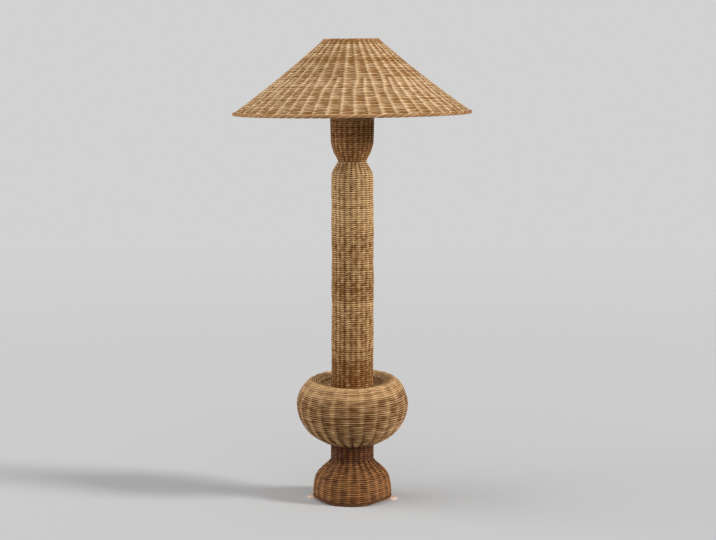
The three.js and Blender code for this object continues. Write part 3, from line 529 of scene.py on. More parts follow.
class Mesher:
    """Gathers strands and turned forms, and makes them into one object."""

    def __init__(self) -> None:
        """Starts with nothing gathered."""
        self.lists: dict[str, list[np.ndarray]] = defaultdict(list)
        self.count = self.strands = 0

    def gather(self, **arrays: np.ndarray) -> None:
        """Adds each array to the list of its name."""
        for name, values in arrays.items():
            self.lists[name].append(values)

    def grid(
        self,
        points: np.ndarray,
        close_rows: bool = False,
        tone: float | np.ndarray = 0.5,
        crevice: float | np.ndarray = 0.0,
        caps: bool = False,
    ) -> Self:
        """Adds a tube of quads.

        Args:
            points: Rows of points along the form, columns round it.
            close_rows: Whether the last row joins the first.
            tone: The strand's own shade, from 0 to 1.
            crevice: How much painted shade each point gets for lying deep in a groove, from 0 to 1.
            caps: Whether open ends are closed with a face.

        Returns:
            The mesher.
        """
        rows, columns = points.shape[:2]
        row_steps = rows if close_rows else rows - 1
        i = np.repeat(np.arange(row_steps), columns)
        j = np.tile(np.arange(columns), row_steps)
        corners = np.stack([(i, j), (i, j + 1), (i + 1, j + 1), (i + 1, j)], 0)
        index = self.count + (corners[:, 0] % rows) * columns + corners[:, 1] % columns
        distance = lengths_along(np.vstack([points[:, 0], points[:1, 0]]))
        edge, width = self.strands + MAP_EDGE, (1.0 - 2.0 * MAP_EDGE) / columns
        self.gather(
            points=points.reshape(-1, 3),
            tone=np.repeat(np.broadcast_to(tone, (rows,)), columns),
            crevice=np.broadcast_to(crevice, (rows, columns)).ravel(),
            loops=index.T.ravel(),
            sizes=np.full(len(i), 4),
            along=distance[corners[:, 0].T.ravel()],
            across=edge + width * corners[:, 1].T.ravel(),
        )
        if caps and not close_rows:
            for row, ring in ((0, np.arange(columns)[::-1]), (rows - 1, np.arange(columns))):
                self.gather(
                    loops=self.count + row * columns + ring,
                    sizes=np.array([columns]),
                    along=np.full(columns, distance[row]),
                    across=edge + width * ring,
                )
        self.count += rows * columns
        self.strands += 1
        return self

    def strand(
        self,
        centre: np.ndarray,
        outward: np.ndarray | tuple[float, ...],
        half_out: float | np.ndarray,
        half_up: float | np.ndarray,
        sides: int = SIDES,
        closed: bool = False,
        tone: float | np.ndarray = 0.5,
        crevice: np.ndarray | None = None,
    ) -> Self:
        """Adds a strand of oval section along a path.

        Args:
            centre: The path's points.
            outward: The direction that the strand shows to the eye, one for all points or one for each.
            half_out: Half its thickness along that direction.
            half_up: Half its width across that direction.
            sides: Sides of the section.
            closed: Whether the path closes on itself.
            tone: The strand's own shade, from 0 to 1.
            crevice: How much painted shade each point of each section gets, from 0 to 1; without it, the
                strand's back gets painted shade.

        Returns:
            The mesher.
        """
        if closed:
            tangent = unit(np.roll(centre, -1, 0) - np.roll(centre, 1, 0))
        else:
            tangent = unit(np.gradient(centre, axis=0))
        up = unit(np.cross(tangent, outward))
        out = np.cross(up, tangent)
        angle = angles(sides)[:, None]
        thick, wide = np.reshape(half_out, (-1, 1, 1)), np.reshape(half_up, (-1, 1, 1))
        ring = centre[:, None] + out[:, None] * np.cos(angle) * thick + up[:, None] * np.sin(angle) * wide
        # Without a mask, the back of the section, turned from the eye, gets painted shade
        depth = (1.0 - np.cos(angle[:, 0])) / 2.0 if crevice is None else crevice
        return self.grid(ring, closed, tone, depth, caps=True)

    def turned(self, profile: Points, steps: int, ring: bool = True, move: Matrix = Matrix()) -> Self:
        """Adds a profile turned about Z.

        Args:
            profile: Radii and heights in millimetres, in an order that keeps the material on its left.
            steps: Steps round the turn.
            ring: Whether the profile closes on itself instead of starting and ending on the axis.
            move: Where the turned form goes, in millimetres.

        Returns:
            The mesher.
        """
        radius, height = np.asarray(profile, float).T[:, :, None]
        matrix = np.array(move)
        points = around(radius, angles(steps), height) @ matrix[:3, :3].T + matrix[:3, 3]
        return self.grid(points * MM, close_rows=ring)

    def mesh(self, name: str, woven: bool = False) -> bpy.types.Mesh:
        """Makes the gathered forms into one mesh.

        Args:
            name: The mesh's name.
            woven: Whether it is left open and takes each strand's tone, painted groove shade and maps.

        Returns:
            The mesh.
        """
        mesh = bpy.data.meshes.new(name)
        joined = {key: np.concatenate(values) for key, values in self.lists.items()}
        mesh.vertices.add(len(joined["points"]))
        mesh.vertices.foreach_set("co", joined["points"].astype(np.float32).ravel())
        mesh.loops.add(len(joined["loops"]))
        mesh.loops.foreach_set("vertex_index", joined["loops"].astype(np.int32))
        mesh.polygons.add(len(joined["sizes"]))
        starts = np.concatenate([[0], np.cumsum(joined["sizes"])[:-1]])
        mesh.polygons.foreach_set("loop_start", starts.astype(np.int32))
        mesh.update(calc_edges=True)
        if not woven:
            close_and_shade(mesh)
            return mesh
        for attribute in ("tone", "crevice"):
            layer = mesh.attributes.new(attribute, "FLOAT", "POINT")
            layer.data.foreach_set("value", joined[attribute].astype(np.float32))
        along, across = joined["along"], joined["across"]
        whole = (along / along.max(), across / self.strands)
        for map_name, (u, v) in (("OFBake", whole), ("Strand", (along, across))):
            layer = mesh.uv_layers.new(name=map_name)
            layer.data.foreach_set("uv", np.stack([u, v], 1).astype(np.float32).ravel())
        mesh.shade_smooth()
        return mesh

    def piece(
        self, name: str, node: str, finish: Finish, body: Body, slot: Slot, woven: bool = False
    ) -> None:
        """Makes the gathered forms into one piece that stands for a CAD node."""
        mount(make_object(name, self.mesh(name, woven), finish), node, body)


@dataclass(frozen=True)
class Weave:
    """How a wall is twined; all sizes in millimetres.

    Each row is a pair of strands that take turns in front of a stake and cross between stakes.
    """

    pitch: float = 7.2  # distance between rows
    strand_out: float = 1.3  # half a strand's thickness through the wall
    cross_up: float = 1.85  # half a strand's width where the pair crosses
    front_up: float = 3.35  # half its width where it lies flat over a stake
    swing_out: float = 2.2  # how far a strand rises over a stake from where the pair crosses
    swing_in: float = 3.6  # how far it sinks behind a stake
    rib: float = 4.5  # half the width of the rib that a stake raises
    steps: int = 6  # steps of a strand from one stake to the next
    stake_out: float = 1.6  # half a stake's thickness through the wall
    stake_across: float = 3.0  # half a stake's width round the wall
    wander: float = 0.7  # how far a row strays up and down
    drift: float = 0.1  # how much the shade of the strands changes from band to band
    rub_and_highlight: float = 0.3  # how much paler the strands are where they stand out: partly rubbing wear, partly painted light
    groove_from: float = 0.45  # share of half a row at which its painted groove shade starts
    groove_rise: float = 0.35  # share of half a row over which that painted shade deepens
    scatter: float = 0.14  # how much the shade differs from strand to strand
    jitter: float = 0.07  # share of a row's height by which rows lie unevenly
    mottle: float = 0.09  # how much the shade changes from place to place
    veil: float = 0.6  # how much of the painted groove shade a rib leaves off
    alternate: float = 0.0  # how much browner every other row is between ribs
    crowding: float = 0.08  # how much the points of a strand crowd near the stakes
    overlap: float = 0.02  # how far two rows reach into each other where their strands cross
    flattening: float = 0.7  # how soon a strand widens from where the pair crosses
    uneven: float = 0.03  # how much a strand's width changes along its round
    smudge: float = 0.6  # how much less the shade changes from place to place over a stake
    bend_mm: float = 6.0  # distance between the points of a stake

    def beats(self, stakes: int) -> np.ndarray:
        """Where the points of a strand lie along its round, counted in stakes."""
        places = np.arange(stakes * self.steps) / self.steps
        return places - self.crowding * np.sin(TURN * places)

    def front(self, beats: np.ndarray, spacing: float) -> np.ndarray:
        """How far a strand stands in front of the wall's middle.

        Args:
            beats: Places along the round, counted in stakes.
            spacing: Distance between stakes.

        Returns:
            1 in front of a stake, 0 where the pair crosses, -1 behind a stake.
        """
        half_rib = min(self.rib / spacing, 0.3)
        flatness = math.log(0.5) / math.log(math.cos(math.pi * half_rib))
        wave = np.cos(math.pi * beats)
        return np.sign(wave) * np.abs(wave) ** flatness


def waves(forms: list[tuple], phases: np.ndarray, along: float, angle: np.ndarray) -> np.ndarray:
    """Adds up waves of a height, a number of turns round a wall and a length along it."""
    return sum(h * np.cos(turns * angle + phase + along / l) for (h, turns, l), phase in zip(forms, phases))


@dataclass
class WovenWall:
    """A wall of rows woven over and under stakes, round the lamp's axis.

    Distances along the wall start at its foot. All lengths are in millimetres.
    """

    name: str  # start of its pieces' names
    node: str  # the CAD node that it stands for
    line: np.ndarray  # the visible surface from foot to top, as rows of radius and height
    stakes: int = 24
    weave: Weave = Weave()
    finish: Finish = COLUMN_PITH
    stake_finish: Finish = STAKE_ROD
    body: Body = Body.STAND
    seed: int = 1
    tone: float = 0.55  # mean shade of its strands, from 0 to 1
    stake_lift: float = 0.1  # how much paler the stakes are
    turn: float = 0.0  # how far the stakes are turned round the axis, in degrees
    random: np.random.Generator = field(init=False)
    phases: np.ndarray = field(init=False)
    lengths: np.ndarray = field(init=False)
    surface: np.ndarray = field(init=False)

    def __post_init__(self) -> None:
        """Measures the line and draws the seeded phases of its irregularities."""
        self.random = np.random.default_rng(self.seed)
        self.phases = self.random.uniform(0.0, TURN, 12)
        self.lengths = lengths_along(self.line)
        slope = unit(np.gradient(self.line, axis=0))
        self.surface = np.column_stack([self.line, slope[:, 1], -slope[:, 0]]).T

    def settle(self, points: np.ndarray) -> np.ndarray:
        """Moves points of the straight wall to where the real one leans, lifts or bows."""
        return points

    def stake_angles(self, along: float) -> np.ndarray:
        """Rising angles of the stakes at a distance along the wall, with the first again at the end."""
        return TURN * np.arange(self.stakes + 1) / self.stakes + math.radians(self.turn)

    def fullness(self, along: float) -> float:
        """How full the rows lie at a distance along the wall, as a factor on the strands' width."""
        return 1.0

    def grooving(self, along: float) -> float:
        """How dark the grooves between rows are at a distance along the wall, from 0 to 1."""
        return 1.0

    def opening(self, along: float) -> float:
        """Half the angle that a row leaves free at the back, or 0 for a closed row."""
        return 0.0

    def stray(self, along: float, angle: np.ndarray) -> np.ndarray:
        """How far a row strays along the wall, smoothly from row to row."""
        forms = [(0.5, 2, 83.0), (0.35, 5, -57.0), (0.25, 9, 31.0)]
        return self.weave.wander * waves(forms, self.phases[:3], along, angle)

    def mottled(self, along: float, angle: np.ndarray) -> np.ndarray:
        """How much the shade changes in patches a few rows high and about a rib wide."""
        forms = [(1, 0.31 * self.stakes, 17.0), (1, 0.57 * self.stakes, -11.0), (1, 0.83 * self.stakes, 7.0)]
        return self.weave.mottle * waves(forms, self.phases[5:8], along, angle)

    def band(self, along: float) -> float:
        """Shade of the strands that were woven in at a distance along the wall, from 0 to 1."""
        bands = math.sin(along / 61.0 + self.phases[3]) + 0.7 * math.sin(along / 23.0 + self.phases[4])
        return self.tone + self.weave.drift * bands

    def place(
        self, along: np.ndarray, angle: np.ndarray, depth: np.ndarray | float
    ) -> tuple[np.ndarray, np.ndarray]:
        """Finds points under the visible surface.

        Args:
            along: Distances along the wall.
            angle: Angles round the axis.
            depth: Depths under the visible surface.

        Returns:
            The points in metres and the outward directions there.
        """
        radius, height, out, up = (np.interp(along, self.lengths, values) for values in self.surface)
        points = around(radius - depth * out, angle, height - depth * up)
        return self.settle(points) * MM, around(out, angle, up)

    def row(self, mesher: Mesher, number: int, along: float) -> None:
        """Twines one row, a pair of strands.

        Args:
            mesher: Gathers the strands.
            number: Number of the row.
            along: Its distance along the wall.
        """
        weave = self.weave
        beats = weave.beats(self.stakes)
        angle = np.interp(beats, np.arange(self.stakes + 1), self.stake_angles(along))
        spacing = TURN * np.interp(along, self.lengths, self.line[:, 0]) / self.stakes
        free = self.opening(along)
        order = np.arange(len(angle))
        if free > 0.0:
            past = np.mod(angle - math.pi / 2, TURN)
            order = np.argsort(past)
            order = order[(past[order] > free) & (past[order] < TURN - free)]
        level = along + self.stray(along, angle)
        section = angles(SIDES)
        # Painted shade on the back of each strand's section, turned from the eye
        inside = np.clip(-np.cos(section), 0.0, 1.0)
        for turn in (number, number + 1):
            front = weave.front(beats + turn, spacing)
            flat = np.abs(front)
            slip = np.sign(np.sin(math.pi * (beats + turn))) * np.sqrt(1.0 - front**2)
            slip *= weave.pitch / 2 - weave.cross_up + weave.overlap
            behind = weave.swing_out - weave.swing_in * front
            sunk = np.where(front > 0.0, weave.swing_out * (1.0 - front), behind)
            width = weave.cross_up + (weave.front_up - weave.cross_up) * flat**weave.flattening
            swell = np.cos(3 * angle + self.random.uniform(0.0, TURN))
            width *= self.fullness(along) * (1.0 + weave.uneven * swell)
            centre, outward = self.place(level + slip, angle, weave.strand_out + sunk)
            # Painted shade in the grooves between rows, less over the ribs
            edge = np.abs(slip[:, None] - width[:, None] * np.sin(section)) / (weave.pitch / 2)
            groove_shade = np.clip((edge - weave.groove_from) / weave.groove_rise, 0.0, 1.0) * self.grooving(along)
            groove_shade *= 1.0 - weave.veil * np.clip(front, 0.0, 1.0)[:, None]
            # Ribs painted paler where they stand out: partly rubbing wear, partly painted light
            shade = self.band(along) + self.random.normal(0.0, weave.scatter) + weave.rub_and_highlight * front
            shade -= weave.alternate * (number % 2) * (1.0 - flat)
            shade += (1.0 - weave.smudge * flat) * self.mottled(along, angle)
            mesher.strand(
                centre[order],
                outward[order],
                weave.strand_out * MM,
                width[order] * MM,
                closed=free == 0.0,
                tone=shade[order],
                crevice=np.maximum(groove_shade, inside)[order],
            )

    def stake(self, mesher: Mesher, number: int, low: float, high: float) -> None:
        """Sets one stake.

        Args:
            mesher: Gathers the stakes.
            number: Number of the stake.
            low: Where it starts along the wall.
            high: Where it ends.
        """
        weave = self.weave
        along = np.linspace(low, high, max(3, int((high - low) / weave.bend_mm)))
        angle = np.array([self.stake_angles(here)[number] for here in along])
        centre, outward = self.place(along, angle, 2 * weave.strand_out + weave.stake_out)
        tone = self.tone + self.stake_lift + self.random.normal(0.0, 0.1)
        mesher.strand(centre, outward, weave.stake_out * MM, weave.stake_across * MM, tone=tone)

    def row_places(self) -> np.ndarray:
        """Spreads the rows over the wall, a little unevenly.

        Returns:
            Their distances along the wall.
        """
        room = self.lengths[-1] - self.weave.pitch
        count = int(round(room / self.weave.pitch)) + 1
        places = self.weave.pitch / 2 + room * np.arange(count) / (count - 1)
        places[1:-1] += self.weave.jitter * self.weave.pitch * self.random.normal(0.0, 0.5, count - 2)
        return places

    def spans(self, number: int) -> list[Span]:
        """Where a stake starts and ends along the wall, for each of its lengths."""
        return [(TUCK, self.lengths[-1] - TUCK)]

    def add_stakes(self, mesher: Mesher) -> None:
        """Sets all the stakes.

        Args:
            mesher: Gathers the stakes.
        """
        for number in range(self.stakes):
            for low, high in self.spans(number):
                self.stake(mesher, number, low, high)

    def build(self, parts: int = 1) -> None:
        """Weaves the wall.

        Args:
            parts: Number of pieces that its rows are shared out over.
        """
        places = self.row_places()
        for part, numbers in enumerate(np.array_split(np.arange(len(places)), parts), 1):
            mesher = Mesher()
            for number in numbers:
                self.row(mesher, int(number), float(places[number]))
            name = f"{self.name}_weave" if parts == 1 else f"{self.name}_weave_{part}"
            mesher.piece(name, self.node, self.finish, self.body, Slot.RATTAN, woven=True)
        mesher = Mesher()
        self.add_stakes(mesher)
        mesher.piece(f"{self.name}_stakes", self.node, self.stake_finish, self.body, Slot.RATTAN, woven=True)


@dataclass
class BaseBell(WovenWall):
    """The bell of the base: its rim rides over the slat, and its back lets the mains lead out."""

    rim_lift: float = 9.1  # how far the rim rises over the slat
    rim_fade: float = 70.0  # height over which the rise fades
    rim_start: float = 0.3  # share of the radius at which the rim starts to rise
    rim_full: float = 0.87  # share of the radius at which it is fully risen
    outlet_height: float = 40.0  # height of the bushing
    outlet_radius: float = 6.4  # what the weave leaves free round the bushing
    neck_tint_and_shadow: float = 0.7  # how much browner the neck is: partly its darker strands, mostly painted shadow of the globe
    neck_from: Span = (0.45, 0.8)  # shares of the wall's length between which the neck begins

    def settle(self, points: np.ndarray) -> np.ndarray:
        """Lifts the rim over the slat.

        Args:
            points: Points of the wall.

        Returns:
            The lifted points.
        """
        across = np.abs(points[..., 0]) / np.hypot(points[..., 0], points[..., 1])
        fade = np.clip(1.0 - (points[..., 2] - self.line[0, 1]) / self.rim_fade, 0.0, 1.0)
        lifted = points.copy()
        lifted[..., 2] += self.rim_lift * smoothstep(across, self.rim_start, self.rim_full) * fade
        return lifted

    def band(self, along: float) -> float:
        """Shade of the strands, browner in the neck: partly darker strands, mostly painted shadow of the
        globe.
        """
        return super().band(along) - self.neck_tint_and_shadow * smoothstep(along / self.lengths[-1], *self.neck_from)

    def outlet_place(self) -> float:
        """Where the bushing sits along the wall."""
        return float(np.interp(self.outlet_height, self.line[:, 1], self.lengths))

    def opening(self, along: float) -> float:
        """Half the angle that a row leaves free for the bushing, or 0 where it passes over or under."""
        meets = abs(along - self.outlet_place()) <= self.outlet_radius + self.weave.pitch / 2
        return meets * math.asin((self.outlet_radius + self.weave.cross_up) / self.line[:, 0].max())

    def spans(self, number: int) -> list[Span]:
        """Finds where a stake starts and ends; the one at the back stops at the bushing.

        Args:
            number: Number of the stake.

        Returns:
            Start and end along the wall of each of its lengths.
        """
        (low, high), outlet = super().spans(number)[0], self.outlet_place()
        if number != self.stakes // 4:
            return [(low, high)]
        return [(low, outlet - self.outlet_radius), (outlet + self.outlet_radius, high)]


@dataclass
class GlobeWall(WovenWall):
    """The globe, whose dished crown leans: low at the front and high at the back."""

    lean: float = 10.3  # how far the crest leans out of level
    lean_degrees: float = 80.0  # direction in which it rises
    crest_radius: float = 121.0  # radius of the crest's inner edge
    crest_depth: float = 8.0  # depth under the crest from which all of it leans
    full_rows: float = 0.06  # how much wider the strands lie on the shoulder of the crown
    crown_highlight: float = 0.5  # painted light on the shoulder of the crown, where the strands are paler
    dish_highlight: float = 1.6  # painted light in the dish, against the shade that falls there
    under_shade: float = 0.4  # painted shade underneath, where the strands are browner
    crown_from: Span = (0.64, 0.7)  # shares of the wall's length between which that shoulder begins
    crown_to: Span = (0.78, 0.86)  # shares between which it ends
    crown_shade_cut: float = 0.45  # how much less painted shade the grooves get on the shoulder
    dish_from: Span = (0.76, 0.84)  # shares between which the dish begins
    dish_shade_cut: float = 0.5  # how much less painted shade the grooves get in the dish
    ledge: float = 31.0  # width of the ledge round the column
    drop: float = 13.0  # height of the border of turned-down stake ends that goes down to the ledge
    gap: float = 2.0  # what the rows and stakes leave free round that border
    border_ends: int = 54  # number of those stake ends
    end_out: float = 2.1  # half an end's thickness through the wall
    end_across: float = 3.7  # half its width round the wall
    end_steps: int = 14  # number of its points
    end_tone: float = 0.9  # its mean shade
    end_slant: float = 0.2  # share of the spacing by which it slants

    def settle(self, points: np.ndarray) -> np.ndarray:
        """Leans the crown.

        Args:
            points: Points of the wall.

        Returns:
            The leaning points.
        """
        low, high = self.line[0, 1], self.line[:, 1].max()
        risen = smoothstep(points[..., 2], (low + high) / 2, high - self.crest_depth)
        reached = smoothstep(np.hypot(points[..., 0], points[..., 1]), self.line[-1, 0], self.crest_radius)
        towards = math.radians(self.lean_degrees)
        share = (points[..., 0] * math.cos(towards) + points[..., 1] * math.sin(towards)) / self.crest_radius
        leaning = points.copy()
        leaning[..., 2] += self.lean * share * risen * reached
        return leaning

    def crown_share(self, along: float) -> float:
        """How near a place lies to the bright shoulder of the crown, from 0 to 1."""
        place = along / self.lengths[-1]
        return smoothstep(place, *self.crown_from) * (1.0 - smoothstep(place, *self.crown_to))

    def dish_share(self, along: float) -> float:
        """How far a place lies inside the dish of the crown, from 0 to 1."""
        return smoothstep(along / self.lengths[-1], *self.dish_from)

    def band(self, along: float) -> float:
        """Shade of the strands: painted light on the shoulder and in the dish of the crown, painted shade
        underneath.
        """
        paler = self.crown_highlight * self.crown_share(along) + self.dish_highlight * self.dish_share(along)
        return super().band(along) + paler - self.under_shade * (0.5 - min(along / self.lengths[-1], 0.5))

    def fullness(self, along: float) -> float:
        """How full the rows lie: fullest on the shoulder of the crown."""
        return 1.0 + self.full_rows * self.crown_share(along)

    def grooving(self, along: float) -> float:
        """How dark the painted groove shade is: lighter on the shoulder and in the dish of the crown."""
        return 1.0 - self.crown_shade_cut * self.crown_share(along) - self.dish_shade_cut * self.dish_share(along)

    def row_places(self) -> np.ndarray:
        """Distances of the rows along the wall, on both sides of the border."""
        places, foot = super().row_places(), self.lengths[-1] - self.ledge
        return places[(places < foot - self.drop - self.gap) | (places > foot + self.gap)]

    def spans(self, number: int) -> list[Span]:
        """Where a stake starts and ends, above the border and on the ledge."""
        (low, high), foot = super().spans(number)[0], self.lengths[-1] - self.ledge
        return [(low, foot - self.drop), (foot + self.gap, high)]

    def add_stakes(self, mesher: Mesher) -> None:
        """Sets all the stakes, with their turned-down ends side by side down to the ledge.

        Args:
            mesher: Gathers the stakes.
        """
        super().add_stakes(mesher)
        foot = self.lengths[-1] - self.ledge
        along = np.linspace(foot - self.drop - 10.0, foot + 5.0, self.end_steps)
        share = np.linspace(0.0, 1.0, self.end_steps)
        bend = 1.8 + 3.2 * (1.0 - smoothstep(share, 0.0, 0.3)) + 2.5 * smoothstep(share, 0.8, 1.0)
        for number in range(self.border_ends):
            place = number + self.random.uniform(-0.12, 0.12) + self.end_slant * share
            depth = bend + self.random.uniform(-0.3, 0.3)
            centre, outward = self.place(along, TURN * place / self.border_ends, depth)
            tone = self.end_tone + self.random.normal(0.0, 0.2)
            mesher.strand(centre, outward, self.end_out * MM, self.end_across * MM, tone=tone)


@dataclass
class ColumnWall(WovenWall):
    """The column, which bows a little to its right side and darkens towards its foot in painted shade."""

    bow: float = 1.7  # how far its middle bows
    fade: float = 0.75  # how much painted shade darkens its foot against its top
    lump: float = 0.7  # how far the wall swells and sinks from place to place
    stripe: float = 0.2  # how much paler every other rib is
    stripe_degrees: float = -67.2  # angle round the axis of one of the paler ribs

    def band(self, along: float) -> float:
        """Shade of the strands, darker towards the foot as painted shade."""
        return super().band(along) + self.fade * (along / self.lengths[-1] - 0.5)

    def mottled(self, along: float, angle: np.ndarray) -> np.ndarray:
        """How much the shade changes from place to place, paler at every other rib."""
        stripes = np.cos(self.stakes / 2 * (angle - math.radians(self.stripe_degrees)))
        return super().mottled(along, angle) + self.stripe * stripes

    def settle(self, points: np.ndarray) -> np.ndarray:
        """Bows the column and makes it uneven, as hand-woven walls are.

        Args:
            points: Points of the wall.

        Returns:
            The moved points.
        """
        low, high = self.line[0, 1], self.line[-1, 1]
        angle, height = np.arctan2(points[..., 1], points[..., 0]), points[..., 2]
        middle = np.sin(math.pi * np.clip((height - low) / (high - low), 0.0, 1.0))
        swell = np.sin(height / 29.0 + 2 * angle + self.phases[8])
        swell += 0.6 * np.sin(height / 13.0 - 3 * angle + self.phases[9])
        moved = points + around(self.lump * middle**0.5 * swell, angle, 0.0)
        moved[..., 0] += self.bow * middle
        return moved


@dataclass(frozen=True)
class Lean:
    """The lean of the whole shade about its lower border, towards the left side."""

    degrees: float = 0.65
    level: float = 1307.0  # height of the axis that it leans about, in millimetres

    def apply(self, points: np.ndarray) -> np.ndarray:
        """Leans points over.

        Args:
            points: Points in millimetres.

        Returns:
            The leaning points.
        """
        angle = math.radians(self.degrees)
        across, rise = points[..., 0], points[..., 2] - self.level
        leaning = points.copy()
        leaning[..., 0] = across * math.cos(angle) - rise * math.sin(angle)
        leaning[..., 2] = self.level + rise * math.cos(angle) + across * math.sin(angle)
        return leaning


@dataclass
class ShadeWall(WovenWall):
    """Half the shade's wall, below or above the round where its stakes are added."""

    lean: Lean = Lean()
    rings: tuple[float, ...] = ()  # distances along the wall of rows that took more stain
    ring_fade: float = 0.3  # how much browner those rows are
    spread: float = 0.0  # length over which three stakes spread from the place of two, or 0 for even stakes

    def settle(self, points: np.ndarray) -> np.ndarray:
        """Leans the wall."""
        return self.lean.apply(points)

    def band(self, along: float) -> float:
        """Shade of the strands, darker in the stained rounds."""
        stained = any(abs(along - ring) < self.weave.pitch for ring in self.rings)
        return super().band(along) - self.ring_fade * stained

    def stake_angles(self, along: float) -> np.ndarray:
        """Finds the stakes: even, or spreading below the round where every third one was added.

        Args:
            along: Distance along the wall.

        Returns:
            The angles, rising, with the first again at the end.
        """
        if self.spread == 0.0:
            return super().stake_angles(along)
        number, group = np.arange(self.stakes + 1), 3.0 * TURN / self.stakes
        below = smoothstep(self.lengths[-1] - along, 0.0, self.spread) * group / 12
        return group * (number // 3) + group / 4 - below + (group / 4 + below) * (number % 3 - 1)


@dataclass
class RolledBorder:
    """A border of strands rolled round each other, in millimetres."""

    name: str
    node: str  # the CAD node that it stands for
    radius: float  # radius of the roll's middle
    level: float  # height of the roll's middle
    reach: float  # half the roll's thickness
    turns: int  # turns of the roll in one round
    wall: WovenWall  # the wall that it closes, whose lean or lift it follows
    finish: Finish = BORDER_PITH
    slot: Slot = Slot.RATTAN
    strands: int = 3
    steps: int = 20  # points of a strand in one turn of the roll
    width: float = 0.62  # half a strand's width as a share of the reach
    uneven: float = 0.08  # how much that width changes along a round
    tone: float = 0.5  # mean shade of its strands, from 0 to 1

    def build(self) -> None:
        """Rolls the border."""
        random = np.random.default_rng(len(self.name) + self.turns)
        mesher = Mesher()
        angle, half = angles(self.steps * self.turns), 0.5 * self.reach
        for number in range(self.strands):
            twist = self.turns * angle + TURN * number / self.strands
            points = around(self.radius + half * np.cos(twist), angle, self.level + half * np.sin(twist))
            swell = np.cos(7 * angle + random.uniform(0.0, TURN))
            width = self.width * self.reach * (1.0 + self.uneven * swell)
            tone = self.tone + random.normal(0.0, 0.1)
            outward = around(np.cos(twist), angle, np.sin(twist))
            path = self.wall.settle(points) * MM
            mesher.strand(path, outward, half * MM, width * MM, closed=True, tone=tone)
        mesher.piece(self.name, self.node, self.finish, self.wall.body, self.slot, woven=True)


